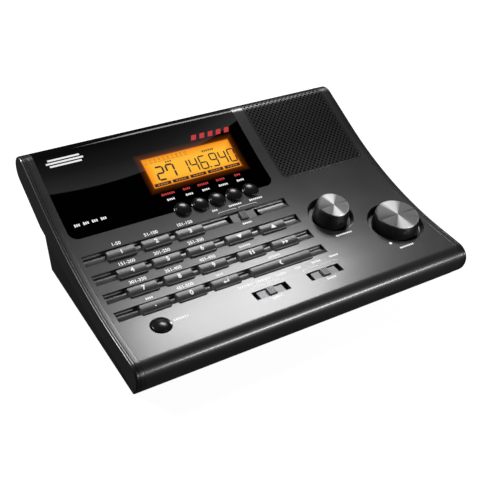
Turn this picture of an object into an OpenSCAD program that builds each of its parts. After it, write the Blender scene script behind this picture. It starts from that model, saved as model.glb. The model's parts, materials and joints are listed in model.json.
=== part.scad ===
// Desktop scanning receiver with clock: a sloping console with a keypad, a lit display,
// two knobs, three slide switches and a loudspeaker, in millimetres.
// The origin is under the middle of the case, on the surface that its feet stand on.
// X runs to the right, Y runs from the front edge to the back, and Z runs up.

/* [Case] */
// Overall width over both side cheeks
case_width = 230; // [228:1:240]
// Overall depth from the rounded front edge to the rounded back edge
case_depth = 170; // [170:1:174]
// Height of the flat front part of the top panel above the table
panel_height = 24.7; // [24.5:0.1:26]
// Width of each side cheek
cheek_width = 5.2; // [5:0.1:5.4]
// How far the rubber feet stand out below the base
foot_height = 1; // [0.8:0.1:1.4]
// Wall thickness of the mouldings
wall = 2.5; // [2.4:0.1:2.6]

/* [Side profile] */
// Length of the flat front part, from the front edge to the start of the bend
flat_length = 25; // [24:0.5:26]
// Radius of the hollow bend of the top panel
bend_radius = 253; // [250:1:258]
// Slope of the straight rear part of the top panel, in degrees
rear_slope = 24; // [23.5:0.5:24.5]
// Radius of the round back edge
end_radius = 9.5; // [9.4:0.1:9.8]
// Depth of the side cheeks below the top panel at the front
cheek_depth = 13.5; // [13:0.5:14]

/* [Keys] */
// Width of one key cap
key_width = 17.5; // [17:0.1:17.8]
// Front to back size of one key cap
key_depth = 6.4; // [6.2:0.1:6.6]
// Height of the key caps above the top panel
key_rise = 1.9; // [1.6:0.1:2.2]
// Travel of a key
key_travel = 1.2; // [0.8:0.1:1.2]
// Front to back distance between rows of keys
row_pitch = 14.4; // [14.3:0.1:14.5]

/* [Buttons and switches] */
// Radius of a round function button
function_button_r = 4.6; // [4.4:0.1:4.7]
// Distance between the round function buttons
function_pitch = 12.3; // [12:0.1:12.4]
// Radius of the power button
power_button_r = 5; // [4.8:0.1:5.2]
// Travel of the round buttons
button_travel = 0.8; // [0.5:0.1:0.8]
// Length of the plate of a slide switch
slider_plate = 17.2; // [17:0.1:17.4]
// Travel of a slide switch from its middle place to either end
slider_travel = 3; // [2.6:0.1:3]

/* [Knobs] */
// Radius of the metal cap of the small knob
squelch_cap_r = 10.2; // [10:0.1:10.4]
// Height of the small knob above the top panel
squelch_rise = 9; // [8:0.5:10]
// Radius of the metal cap of the large knob
volume_cap_r = 13.8; // [13.6:0.1:14]
// Height of the large knob above the top panel
volume_rise = 7.3; // [7:0.1:8]

/* [Sockets on the back] */
// Outer radius of the aerial connector
aerial_r = 4.8; // [4.7:0.05:4.85]
// Bore radius of the earphone socket
earphone_r = 1.8; // [1.75:0.05:1.9]
// Bore radius of the power socket
power_socket_r = 3; // [2.9:0.1:3.2]

/* [Hidden] */
$fn = 64;
fit_gap = 0.1;            // between mouldings that are screwed or clipped together
run_gap = 0.05;           // between a shaft and its bushing
press_gap = 0.02;         // between pieces that are pressed together
move_gap = 0.35;          // round a moving cap in its opening

half_width = case_width / 2;
panel_half = half_width - cheek_width;
side_wall = 2.2;
front_y = -case_depth / 2;
rear_y = case_depth / 2;
floor_z = foot_height;
floor_top = floor_z + 2.2;
pad_depth = 4.5;          // thickness of the panel where keys and display pass through it
pad_front_y = -50.6;      // front end of that thick part, clear of the power button

// Side profile: centres of the arcs, as [y, z]
nose_top_r = 8.5;
nose_low_r = 14;
nose_z = panel_height - nose_top_r;
nose_top_c = [front_y + nose_top_r, nose_z];
nose_low_c = [front_y + nose_low_r, nose_z];
lip_angle = 49.6;
bend_y = front_y + flat_length;
bend_c = [bend_y, panel_height + bend_radius];
bend_end_y = bend_y + bend_radius * sin(rear_slope);
bend_end_z = panel_height + bend_radius * (1 - cos(rear_slope));
end_y = rear_y - end_radius;
end_touch_y = end_y - end_radius * sin(rear_slope);
end_touch_z = bend_end_z + (end_touch_y - bend_end_y) * tan(rear_slope);
end_c = [end_y, end_touch_z - end_radius * cos(rear_slope)];
under_slope = 25;
under_touch = end_c + end_radius * [sin(under_slope), -cos(under_slope)];
kink_y = under_touch[0] - 32;
kink = [kink_y, under_touch[1] - 32 * tan(under_slope)];
edge_turn_y = 5;          // where the lower edge of the cheek leaves the bend
heel_y = 37.8;            // rear foot of the base at the sides
rear_box_half = 92;       // half width of the deep middle part of the base
rear_box_y = 66;          // back face of that part

// Display window, display and speaker grille
window_x = [-107.4, 33];
window_front_y = 16.2;
window_thickness = 2;
display_x = -12.5;
display_y = 45;
display_size = [63.5, 22.1];
grille_x = [41.5, 107.3];
grille_front_y = 17.4;
grille_thickness = 0.8;
speaker_x = 74.2;
speaker_y = 46;
speaker_r = 28;

// Keys: rows from the back to the front, columns from left to right
row_y = [for (i = [0:3]) -1 - i * row_pitch];
column_x = [-84, -61.3, -38.6, -12.3, 11.9];
snooze_x = (column_x[3] + column_x[4]) / 2;
snooze_width = column_x[4] - column_x[3] + key_width;
trough_x = [-106.9, 32.6];
trough_rear = 5.5;        // from the middle of a key row to the rear edge of its trough
flange_top = -5.2;
flange_height = 0.9;
mat_depth = 11.3;
mat_thickness = 1.2;
board_thickness = 1.6;
switch_base = mat_depth + mat_thickness;
stem_end = -mat_depth + 2.4 + key_travel;   // stays above the domes when a key is down

// Slide switches, round buttons and knobs, as [x, y]
mode_at = [0, 0];
time_at = [-18.2, -61.3];
alarm_at = [19.8, -61.3];
slot_size = [slider_plate + 2 * slider_travel + 0.4, 7];
function_x = [for (i = [0:4]) -34.6 + i * function_pitch];
function_y = 16;
power_at = [-87.6, -58.4];
squelch_at = [54.3, -19.1];
volume_at = [90, -41.8];
squelch_well_r = 15.3;
volume_well_r = 18.6;
well_depth = 3.4;
cup_floor = well_depth + wall;
shaft_r = 3;
bushing_r = 3.9;

// Main board and battery bay
main_board_z = floor_top + 3;
main_board_top = main_board_z + board_thickness;
case_screw_at = [[-101, -60], [101, -60], [-101, 25], [101, 25]];
board_screw_at = [[-60, -62], [60, -62], [-60, 20], [60, 20]];
key_screw_at = [[-97.5, -22], [-97.5, 22], [27.5, -22], [27.5, 22]];
post_split_z = 12;
screw_r = 1.45;
bay_x = [-66, -10];
bay_y = [30.5, 60.8];
cell_r = 7.15;
cell_length = 50.2;
door_x = [-67, -9];
foot_at = [[-84, -68], [84, -68], [-84, 55], [84, 55]];
aerial_at = [-77, 19];
earphone_at = [40, 16];
power_socket_at = [62, 16];

// ---------- side profile ----------

// Height of the top panel at y
function panel_z(y) = y < bend_y ? panel_height
    : y < bend_end_y ? bend_c[1] - sqrt(bend_radius * bend_radius - (y - bend_y) * (y - bend_y))
    : bend_end_z + (y - bend_end_y) * tan(rear_slope);

// Slope of the top panel at y, in degrees
function panel_slope(y) = y < bend_y ? 0 : y < bend_end_y ? asin((y - bend_y) / bend_radius) : rear_slope;

// Points on an arc, with its first point and without it
function arc(c, r, a0, a1, n, first = 0) =
    [for (i = [first:n]) let (a = a0 + (a1 - a0) * i / n) c + r * [cos(a), sin(a)]];
function arc_on(c, r, a0, a1, n) = arc(c, r, a0, a1, n, 1);
function reversed(list) = [for (i = [len(list) - 1:-1:0]) list[i]];

// The bend and the round back edge, at depth d inside the outer skin
function bend(d, a0 = 0, n = 12) = arc(bend_c, bend_radius + d, a0 - 90, rear_slope - 90, n);
function back_edge(d, last = under_slope - 90, n = 12) = arc(end_c, end_radius - d, 90 + rear_slope, last, n);

// The outer skin from the lower lip of the nose, over the top, to the underside at the back
function skin(d) = concat(
    arc(nose_low_c, nose_low_r - d, 180 + lip_angle, 180, 6),
    arc_on(nose_top_c, nose_top_r - d, 180, 90, 8),
    bend(d), back_edge(d));

// The lower edge of the cheeks from back to front, at depth d above it
function lower_edge(d) = concat(
    [[kink[0], kink[1] + d]],
    arc(bend_c, bend_radius + cheek_depth - d, asin((edge_turn_y - bend_y) / bend_radius) - 90, -90, 6),
    [[bend_y - 7, panel_height - cheek_depth - 0.6 + d]]);
edge_front = [bend_y - 14, panel_height - cheek_depth - 2];
cheek_outline = concat(skin(0), lower_edge(0), [edge_front]);

// Part of the skin as a sheet between two depths, starting at y and wrapping over the back edge
function sheet(y, d0, d1, last) =
    let (a0 = panel_slope(y)) concat(
        bend(d0, a0, 6), back_edge(d0, last, 10),
        reversed(back_edge(d1, last, 10)), reversed(bend(d1, a0, 6)));

// ---------- frames and small helpers ----------

// A side outline, drawn as [y, z], as a solid from x0 to x1
module along_x(x0, x1) translate([x0, 0, 0]) rotate([90, 0, 90]) linear_extrude(x1 - x0) children();

// A frame on the top panel, with Z along the panel's own normal
module on_panel(x, y) translate([x, y, panel_z(y)]) rotate([panel_slope(y), 0, 0]) children();

// The keys all move along the normal of their flat board
key_tilt = atan((panel_z(row_y[0]) - panel_z(row_y[3])) / (row_y[0] - row_y[3]));
board_y = (row_y[0] + row_y[3]) / 2;
board_z = (panel_z(row_y[0]) + panel_z(row_y[3])) / 2;
module key_frame(x, y) translate([x, y, panel_z(y)]) rotate([key_tilt, 0, 0]) children();
module board_frame() translate([0, board_y, board_z]) rotate([key_tilt, 0, 0]) children();

// How far the panel lies below the straight line through the first and last key rows
function row_sag(y) = (board_z + (y - board_y) * tan(key_tilt) - panel_z(y)) * cos(key_tilt);

// A rectangle with round corners, centred
module round_rect(w, d, r) {
    square([w - 2 * r, d], center = true);
    square([w, d - 2 * r], center = true);
    for (sx = [-1, 1], sy = [-1, 1])
        translate([sx * (w / 2 - r), sy * (d / 2 - r)]) circle(r);
}

// A block with round upright edges, from z0 to z1
module round_block(w, d, r, z0, z1) translate([0, 0, z0]) linear_extrude(z1 - z0) round_rect(w, d, r);

// A cylinder from z0 to z1
module rod(r, z0, z1) translate([0, 0, z0]) cylinder(r = r, h = z1 - z0);

// A ring from z0 to z1
module ring(r_out, r_in, z0, z1) difference() {
    rod(r_out, z0, z1);
    rod(r_in, z0 - 1, z1 + 1);
}

// A box given by its ranges
module range_box(x, y, z) translate([x[0], y[0], z[0]]) cube([x[1] - x[0], y[1] - y[0], z[1] - z[0]]);

// ---------- case ----------

// Plan of a sheet in the panel: square at the back, with round front corners
module sheet_plan(x, y, r, grow) {
    range_box([x[0] - grow, x[1] + grow], [y + r, rear_y + 10], [0, 90]);
    range_box([x[0] + r, x[1] - r], [y - grow, y + r], [0, 90]);
    for (cx = [x[0] + r, x[1] - r]) translate([cx, y + r, 0]) cylinder(r = r + grow, h = 90);
}
module window_sheet(d0, d1, grow) intersection() {
    along_x(window_x[0] - grow, window_x[1] + grow) polygon(sheet(window_front_y - 1, d0, d1, -20));
    sheet_plan(window_x, window_front_y, 5.5, grow);
}
module grille_sheet(d0, d1, grow) intersection() {
    along_x(grille_x[0] - grow, grille_x[1] + grow) polygon(sheet(grille_front_y - 1, d0, d1, 30));
    sheet_plan(grille_x, grille_front_y, 4.5, grow);
}

// The scooped trough of a key row: steep at its rear edge and rising to the panel at its front
module trough(y) on_panel(0, y + trough_rear) along_x(trough_x[0], trough_x[1])
    polygon([[0.2, 0.8], [-0.6, -1.9], [-1.3, -2.2], [-2.8, -2.2], [-5.6, -1.3], [-8.7, 0.15], [-8.8, 0.8]]);

module key_opening(x, y, w) key_frame(x, y)
    round_block(w + 2 * move_gap, key_depth + 2 * move_gap, 0.9, flange_top - 1, 4);

module slot_opening(at, depth) on_panel(at[0], at[1])
    round_block(slot_size[0], slot_size[1], 0.4, -depth - 1, 3);

module knob_cup(at, r) on_panel(at[0], at[1]) rod(r + 1, -cup_floor, -1);
module knob_well(at, r) on_panel(at[0], at[1]) {
    translate([0, 0, -well_depth]) cylinder(r1 = r - 1.6, r2 = r, h = well_depth + 0.4);
    rod(r, 0.3, 3);
    rod(bushing_r + fit_gap, -cup_floor - 1, -well_depth + 1);
}

module top_housing() color("#4a4a4c") difference() {
    union() {
        along_x(-panel_half, panel_half) polygon(concat(skin(0), reversed(skin(wall))));
        for (x = [-panel_half, panel_half - side_wall])
            along_x(x, x + side_wall) polygon(cheek_outline);
        // thicker pad behind the keys and the display window
        along_x(-panel_half + 1, window_x[1] + 3) polygon(concat(
            bend(1, panel_slope(pad_front_y)), back_edge(1, -30, 6),
            reversed(back_edge(pad_depth, -30, 6)), reversed(bend(pad_depth, panel_slope(pad_front_y)))));
        knob_cup(squelch_at, squelch_well_r);
        knob_cup(volume_at, volume_well_r);
        // bosses for the case screws and the key board
        for (p = case_screw_at) translate([p[0], p[1], 0]) rod(3.2, post_split_z, panel_z(p[1]) - 1);
        for (p = key_screw_at) board_frame() translate([p[0], p[1], 0]) rod(2.6, -switch_base, -3);
        // ribs that carry the board of the function buttons
        for (x = [-42.6, 22.6]) on_panel(x, function_y) range_box([-1.4, 1.4], [-5, 5], [-switch_base - 1, -3]);
    }
    for (y = row_y) trough(y);
    for (r = [0:3], c = [0:2]) key_opening(column_x[c], row_y[r], key_width);
    for (r = [1, 2], c = [3, 4]) key_opening(column_x[c], row_y[r], key_width);
    key_opening(snooze_x, row_y[3], snooze_width);
    slot_opening(mode_at, pad_depth);
    slot_opening(time_at, wall);
    slot_opening(alarm_at, wall);
    for (x = function_x) on_panel(x, function_y) rod(function_button_r + 0.3, -pad_depth - 1, 4);
    on_panel(power_at[0], power_at[1]) {
        rod(power_button_r + 0.3, -wall - 1, 2);
        translate([0, 0, -0.9]) cylinder(r1 = power_button_r + 0.4, r2 = power_button_r + 1.4, h = 1);
    }
    knob_well(squelch_at, squelch_well_r);
    knob_well(volume_at, volume_well_r);
    window_sheet(-2, window_thickness, fit_gap);
    on_panel(display_x, display_y) round_block(display_size[0] + 1, display_size[1] + 1, 1, -pad_depth - 2, 4);
    grille_sheet(-2, grille_thickness, fit_gap);
    on_panel(speaker_x, speaker_y) rod(25, -wall - 1, 4);
    for (p = case_screw_at) translate([p[0], p[1], 0])
        rod(screw_r + press_gap, post_split_z - 1, post_split_z + 7.1);
    for (p = key_screw_at) board_frame() translate([p[0], p[1], 0])
        rod(screw_r + press_gap, -switch_base - 1, -switch_base + 5.1);
    // sockets for the pegs of the cheeks
    for (x = [-panel_half - 1, panel_half - side_wall - 1], p = [[-55, 17], [-5, 24], [50, 40]])
        translate([x, p[0], p[1]]) rotate([0, 90, 0]) cylinder(r = 1.6, h = side_wall + 2);
}

// One side cheek: a moulding that follows the side profile, hollow on its inner side, with three pegs
module side_cheek(side) color("#343436") {
    x_in = side < 0 ? -panel_half - cheek_width : panel_half;
    hollow_x = side < 0 ? -panel_half - 3 : panel_half - 1;
    difference() {
        along_x(x_in, x_in + cheek_width) polygon(cheek_outline);
        along_x(hollow_x, hollow_x + 4) polygon(concat(
            [[bend_y - 10, panel_height - wall]], bend(wall), back_edge(wall), lower_edge(wall)));
    }
    for (p = [[-55, 17], [-5, 24], [50, 40]])
        translate([side * (panel_half - side_wall + 0.1), p[0], p[1]]) rotate([0, side * 90, 0])
            cylinder(r = 1.6 - press_gap, h = side_wall + 3.5);
}
module left_side_cheek() side_cheek(-1);
module right_side_cheek() side_cheek(1);

module base_cover() color("#1d1d1f") difference() {
    union() {
        // shallow tray that carries the side walls
        difference() {
            along_x(2 - half_width, half_width - 2) polygon(concat(
                [skin(0)[0], [front_y + 7.4, floor_z + 0.9], [front_y + 8.8, floor_z], [heel_y, floor_z]],
                lower_edge(0), [edge_front]));
            along_x(2 + side_wall - half_width, half_width - side_wall - 2) polygon([
                [front_y + 9, floor_top], [heel_y - 1.6, floor_top],
                [kink[0] - 1.4, kink[1] + 4], [front_y + 9, kink[1] + 4]]);
        }
        // deep middle part, and the plates under the overhang
        difference() {
            along_x(-rear_box_half, rear_box_half) polygon([
                [heel_y - 10, floor_z], [rear_box_y, floor_z],
                [rear_box_y, kink[1] + (rear_box_y - kink[0]) * tan(under_slope)], kink, [heel_y - 6, 18]]);
            along_x(-rear_box_half + side_wall, rear_box_half - side_wall)
                polygon([[heel_y - 30, floor_top], [rear_box_y - side_wall, floor_top],
                    [rear_box_y - side_wall, 60], [heel_y - 30, 60]]);
        }
        difference() {
            along_x(-panel_half + side_wall + fit_gap, panel_half - side_wall - fit_gap) polygon([
                kink + [-1.5, -1], kink, under_touch - 0.2 * [cos(under_slope), sin(under_slope)],
                under_touch + [-1.2, 2], kink + [-0.8, 2.2]]);
            range_box([-rear_box_half + side_wall, rear_box_half - side_wall],
                [0, rear_box_y - side_wall], [20, 60]);
        }
        for (p = case_screw_at) translate([p[0], p[1], 0]) rod(3.6, floor_z, post_split_z - fit_gap);
        for (p = board_screw_at) translate([p[0], p[1], 0]) rod(3, floor_z, main_board_z);
        // battery bay
        range_box([bay_x[0] - 1.5, bay_x[1] + 1.5], [bay_y[0] - 1.5, bay_y[1] + 1.5], [floor_top - 0.1, 19.2]);
    }
    // open the sloping rear wall of the tray into the deep middle part
    for (x = [[-rear_box_half + side_wall, bay_x[0] - 1.5], [bay_x[1] + 1.5, rear_box_half - side_wall]])
        range_box(x, [heel_y - 8, 52], [floor_top, 60]);
    range_box([bay_x[0] - 1.6, bay_x[1] + 1.6], [heel_y - 8, 52], [19.2, 60]);
    range_box(bay_x, bay_y, [floor_z - 1, 17.8]);
    range_box([door_x[0] + 1.9, door_x[1] - 1.9], [bay_y[0] - 0.6, rear_box_y + 1],
        [floor_z - 1, floor_z + 0.95]);
    range_box([door_x[0] - fit_gap, door_x[1] + fit_gap], [bay_y[0] - 0.6, rear_box_y + 1],
        [floor_z + 0.9, floor_z + 1.9]);
    // opening for the rear panel
    range_box([-84, 84], [rear_box_y - 3, rear_box_y + 1], [6, 31]);
    range_box([-86.1, 86.1], [rear_box_y - 3, rear_box_y - 1.1], [4.9, 32.1]);
    for (p = case_screw_at) translate([p[0], p[1], 0]) {
        rod(screw_r + 0.15, floor_z - 1, post_split_z + 1);
        rod(3, floor_z - 1, floor_z + 2.1);
    }
    for (p = board_screw_at) translate([p[0], p[1], 0]) rod(screw_r + press_gap, floor_top, main_board_z + 1);
    for (p = foot_at) translate([p[0], p[1], 0]) rod(6, floor_z - 1, floor_z + 0.6);
}

module rear_panel() color("#151516") difference() {
    union() {
        range_box([-83.9, 83.9], [rear_box_y - 2, rear_box_y], [6.1, 30.9]);
        range_box([-86, 86], [rear_box_y - 2, rear_box_y - 1.2], [5, 32]);
    }
    on_back(aerial_at) rod(aerial_r + fit_gap, -4, 1);
    on_back(earphone_at) rod(3.7, -4, 1);
    on_back(power_socket_at) rod(4.6, -4, 1);
}

module display_window() color("#08080a") difference() {
    window_sheet(0, window_thickness, 0);
    for (x = function_x) on_panel(x, function_y) rod(function_button_r + 0.3, -6, 4);
}

module speaker_grille() color("#2a2a2c") difference() {
    grille_sheet(0, grille_thickness, 0);
    // perforations over the cone, in staggered rows
    on_panel(speaker_x, speaker_y)
        for (i = [-5:5], j = [-5:5])
            if (norm([(i + j / 2) * 4.2, j * 3.64]) < 20)
                translate([(i + j / 2) * 4.2, j * 3.64, 0]) rod(1, -3, 3);
}

module rubber_feet() color("#101010")
    for (p = foot_at) translate([p[0], p[1], 0]) rod(5.9, 0, floor_z + 0.6);

// ---------- display ----------

module display_frame() on_panel(display_x, display_y) children();
module lcd_frame() color("#e8e8e4") display_frame() difference() {
    round_block(74, 32, 1.5, -pad_depth - 6.4, -pad_depth - 0.1);
    round_block(68.2, 26.2, 0.5, -pad_depth - 5.4, -pad_depth + 1);
    round_block(60, 18, 0.5, -pad_depth - 8, -pad_depth);
}
module lcd_glass() color("#f2a32a") display_frame() round_block(68, 26, 0.4, -pad_depth - 3, -pad_depth - 0.2);
module backlight_panel() color("#fff0c8") display_frame()
    round_block(66, 24, 0.4, -pad_depth - 5.3, -pad_depth - 3.1);

// ---------- loudspeaker ----------

module speaker_frame() on_panel(speaker_x, speaker_y) children();
module speaker_basket() color("#5a5a5e") speaker_frame() difference() {
    union() {
        rod(speaker_r, -wall - 1.6, -wall - 0.2);
        translate([0, 0, -wall - 8]) cylinder(r1 = 13, r2 = 25.5, h = 6.5);
    }
    translate([0, 0, -wall - 6.9]) cylinder(r1 = 12.2, r2 = 24.7, h = 5.4);
    rod(24.7, -wall - 1.51, 0);
    rod(8.2, -wall - 9, 0);
    // windows in the basket
    for (a = [0:60:300]) rotate([0, 0, a + 30]) translate([18.5, 0, -wall - 5]) cube([6, 9, 6], center = true);
}
module speaker_cone() color("#202022") speaker_frame() difference() {
    rotate_extrude() polygon([[0, -wall - 6.4], [8, -wall - 6.4], [22.6, -wall - 1.3], [24.5, -wall - 1.3],
        [24.5, -wall - 0.8], [22.4, -wall - 0.8], [7.8, -wall - 5.8], [4, -wall - 4.4], [0, -wall - 4]]);
    translate([0, 0, -wall - 9]) cylinder(r = 5, h = 3.4);
}
module speaker_magnet() color("#8c8c90") speaker_frame() rod(14, -wall - 12.4, -wall - 8.1);

// ---------- keys ----------

// A key cap with its retaining flange and stem; the crowned top follows the panel
module key(x, y, w) key_frame(x, y) {
    tilt = panel_slope(y) - key_tilt;
    h = key_depth / 2;
    intersection() {
        round_block(w, key_depth, 0.8, flange_top, key_rise + 2);
        along_x(-w / 2 - 1, w / 2 + 1) polygon([
            [-h - 1, flange_top - 1], [-h - 1, key_rise - 0.75 - (h + 1) * tan(tilt)],
            [-h + 0.5, key_rise - 0.2 - h * tan(tilt)], [0.4, key_rise],
            [h - 0.4, key_rise - 0.25 + h * tan(tilt)], [h + 1, key_rise - 0.7 + h * tan(tilt)],
            [h + 1, flange_top - 1]]);
    }
    round_block(w + 1.6, key_depth + 1.6, 0.8, flange_top - flange_height, flange_top);
    for (s = w > 30 ? [-12, 12] : [0]) translate([s, 0, 0]) rod(1.6, stem_end, flange_top);
}

// Keys in rows of numbers, from the back: 1 2 3, 4 5 6, 7 8 9, point 0 enter
module number_key(i) color("#6c6c6e") key(column_x[i % 3], row_y[floor(i / 3)], key_width);
module word_key(r, c) color("#6c6c6e") key(column_x[c], row_y[r], key_width);
module key_snooze() color("#6c6c6e") key(snooze_x, row_y[3], snooze_width);

module rubber_keymat() color("#3c3c40") difference() {
    union() {
        board_frame() range_box([-94, 23.6], [-26.6, 26.6], [-mat_depth - mat_thickness, -mat_depth]);
        for (r = [0:3], c = [0:4])
            if (c < 3 || r == 1 || r == 2) mat_dome(column_x[c], row_y[r]);
        for (s = [-12, 12]) mat_dome(snooze_x + s, row_y[3]);
    }
    key_frame(mode_at[0], mode_at[1]) range_box([-7.2, 7.2], [-4, 4], [-20, 0]);
}
module mat_dome(x, y) key_frame(x, y)
    translate([0, 0, -mat_depth + row_sag(y) - 0.2]) cylinder(r1 = 3.2, r2 = 2, h = 1.3);

module key_board() color("#1f6b3a") difference() {
    board_frame() range_box([-101.5, 31.5], [-28, 28], [-switch_base - board_thickness, -switch_base]);
    for (p = key_screw_at) board_frame() translate([p[0], p[1], 0]) rod(screw_r + 0.15, -30, 0);
}

// ---------- round buttons ----------

// A round button: domed cap, flange under the panel and a stem
module round_button(r, rise, flange_z, stem_z) {
    rod(r, flange_z, rise - 0.9);
    translate([0, 0, rise - 0.9]) cylinder(r1 = r, r2 = r - 1.2, h = 0.6);
    rotate_extrude() intersection() {
        translate([0, rise - 0.31 + 0.3 - 20]) circle(20, $fn = 256);
        translate([0, rise - 0.32]) square([r - 1.2, 2]);
    }
    rod(r + 1, flange_z - 0.9, flange_z);
    rod(1.5, stem_z, flange_z);
}
module function_button(i) color("#18181a") on_panel(function_x[i], function_y)
    round_button(function_button_r, 2.4, -pad_depth - 0.7, -pad_depth - 3.3);
power_tact_z = main_board_top + 4.5;
module power_button() color("#141416") on_panel(power_at[0], power_at[1])
    round_button(power_button_r, 1.2, -wall - 0.7, power_tact_z + button_travel + 0.4 - panel_height);

// ---------- slide switches ----------

// The sliding plate with its nib, the wider shutter under the panel and the stem into the switch
module slider(at, depth) on_panel(at[0], at[1]) {
    round_block(slider_plate, slot_size[1] - 0.9, 0.4, -depth - 0.6, -0.7);
    round_block(slot_size[0] + 0.4, slot_size[1] + 1.2, 0.4, -depth - 1.4, -depth - 0.6);
    difference() {
        round_block(4.6, slot_size[1] - 1.2, 0.4, -0.8, 1);
        for (x = [-1.2, 0, 1.2]) range_box([x - 0.25, x + 0.25], [-4, 4], [0.7, 2]);
    }
    range_box([-0.75, 0.75], [-0.7, 0.7], [-9.6, -depth]);
}
module mode_slider() color("#9a9a9c") slider(mode_at, pad_depth);
module time_slider() color("#9a9a9c") slider(time_at, wall);
module alarm_slider() color("#9a9a9c") slider(alarm_at, wall);

module slide_switch(at) on_panel(at[0], at[1]) difference() {
    range_box([-6.6, 6.6], [-3, 3], [-switch_base, -8.5]);
    range_box([-4.2, 4.2], [-1, 1], [-10.2, 0]);
}
module tact_switch(z) {
    range_box([-3, 3], [-3, 3], [z, z + 3.5]);
    rod(1.6, z + 3.4, z + 4.4);
}
module switch_bodies() color("#b8bcc0") {
    // the middle switch stands on the key board, whose normal is a little steeper
    difference() {
        key_frame(mode_at[0], mode_at[1]) range_box([-6.6, 6.6], [-3, 3], [-switch_base + row_sag(0), -8.5]);
        on_panel(mode_at[0], mode_at[1]) range_box([-4.2, 4.2], [-1, 1], [-10.2, 0]);
    }
    slide_switch(time_at);
    slide_switch(alarm_at);
    for (x = function_x) on_panel(x, function_y) tact_switch(-switch_base - 1);
    translate([power_at[0], power_at[1], 0]) tact_switch(main_board_top);
}
module switch_boards() color("#1f6b3a") {
    on_panel(0, function_y)
        range_box([-44, 24], [-7, 7], [-switch_base - 1 - board_thickness, -switch_base - 1]);
    translate([0, 0, panel_height]) range_box([-36, 38], [-69, -54], [-switch_base - board_thickness, -switch_base]);
}

// ---------- knobs ----------

module knob_frame(at) on_panel(at[0], at[1]) children();

// Knob body with the blind bore for its shaft and a recess over the nut
module knob_body(r, rise) difference() {
    union() {
        translate([0, 0, -2.6]) cylinder(r1 = r + 1.3, r2 = r + 0.4, h = rise + 1.8);
        translate([0, 0, rise - 0.81]) cylinder(r = r - 0.4, h = 0.21);
    }
    rod(shaft_r + press_gap, -3, rise - 3);
    rod(7, -3, 0.4);
}
module knob_cap(r, rise) {
    rod(r, rise - 0.58, rise - 0.25);
    translate([0, 0, rise - 0.25]) cylinder(r1 = r, r2 = r - 0.25, h = 0.25);
}
module knob_shaft(rise) difference() {
    rod(shaft_r, -cup_floor - 4, rise - 3.1);
    range_box([-0.4, 0.4], [-4, 4], [rise - 6, rise]);
}
module squelch_knob() color("#161618") knob_frame(squelch_at) knob_body(squelch_cap_r, squelch_rise);
module squelch_knob_cap() color("#b4b4b6") knob_frame(squelch_at) knob_cap(squelch_cap_r, squelch_rise);
module squelch_shaft() color("#c8c8ca") knob_frame(squelch_at) knob_shaft(squelch_rise);
module volume_knob() color("#161618") knob_frame(volume_at) knob_body(volume_cap_r, volume_rise);
module volume_knob_cap() color("#b4b4b6") knob_frame(volume_at) knob_cap(volume_cap_r, volume_rise);
module volume_shaft() color("#c8c8ca") knob_frame(volume_at) knob_shaft(volume_rise);

// The two rotary controls, with their threaded bushings, nuts and tags
module rotary_control(at) on_panel(at[0], at[1]) difference() {
    union() {
        rod(8, -cup_floor - 5.5, -cup_floor - 0.1);
        rod(bushing_r, -cup_floor - 1, -1.2);
        translate([0, 0, -well_depth + 0.05]) cylinder(r = 5.4, h = 1.6, $fn = 6);
        for (x = [-3, 0, 3]) range_box([x - 0.5, x + 0.5], [-11, -7], [-cup_floor - 3.4, -cup_floor - 2.8]);
    }
    rod(shaft_r + run_gap, -cup_floor - 4.2, 1);
}
module volume_controls() color("#9ea0a4") {
    rotary_control(squelch_at);
    rotary_control(volume_at);
}

// ---------- electronics ----------

module main_board() color("#1f6b3a") difference() {
    range_box([-96, 96], [-67, 26], [main_board_z, main_board_top]);
    for (p = board_screw_at) translate([p[0], p[1], 0]) rod(screw_r + 0.15, 0, 20);
}
module board_components() color("#3a3a3e") {
    // screening can over the tuner, with a raised lid
    range_box([44, 88], [-16, 16], [main_board_top, main_board_top + 3.4]);
    range_box([45, 87], [-15, 15], [main_board_top + 3.3, main_board_top + 3.8]);
    for (p = [[-70, -30, 14], [-36, -34, 18], [-4, -26, 12], [24, -38, 10], [-20, 10, 12]])
        translate([p[0], p[1], 0]) range_box([-p[2] / 2, p[2] / 2], [-p[2] / 2, p[2] / 2],
            [main_board_top, main_board_top + 1.2]);
    for (x = [34, 42, 50]) translate([x, -50, 0]) rod(3, main_board_top, main_board_top + 5);
}

module screws() color("#c0c0c4") {
    for (p = case_screw_at) translate([p[0], p[1], 0]) {
        rod(2.8, floor_z + 0.5, floor_z + 2.1);
        rod(screw_r, floor_z + 2, post_split_z + 7);
    }
    for (p = board_screw_at) translate([p[0], p[1], 0]) {
        rod(2.6, main_board_top, main_board_top + 1.6);
        rod(screw_r, floor_top + 0.1, main_board_top + 0.1);
    }
    for (p = key_screw_at) board_frame() translate([p[0], p[1], 0]) {
        rod(2.4, -switch_base - board_thickness - 1.5, -switch_base - board_thickness);
        rod(screw_r, -switch_base - board_thickness - 0.1, -switch_base + 5);
    }
}

// ---------- sockets on the rear panel ----------

// A frame on the back face with Z pointing backwards, out of the case
module on_back(at) translate([at[0], rear_box_y, at[1]]) rotate([-90, 0, 0]) children();

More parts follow.
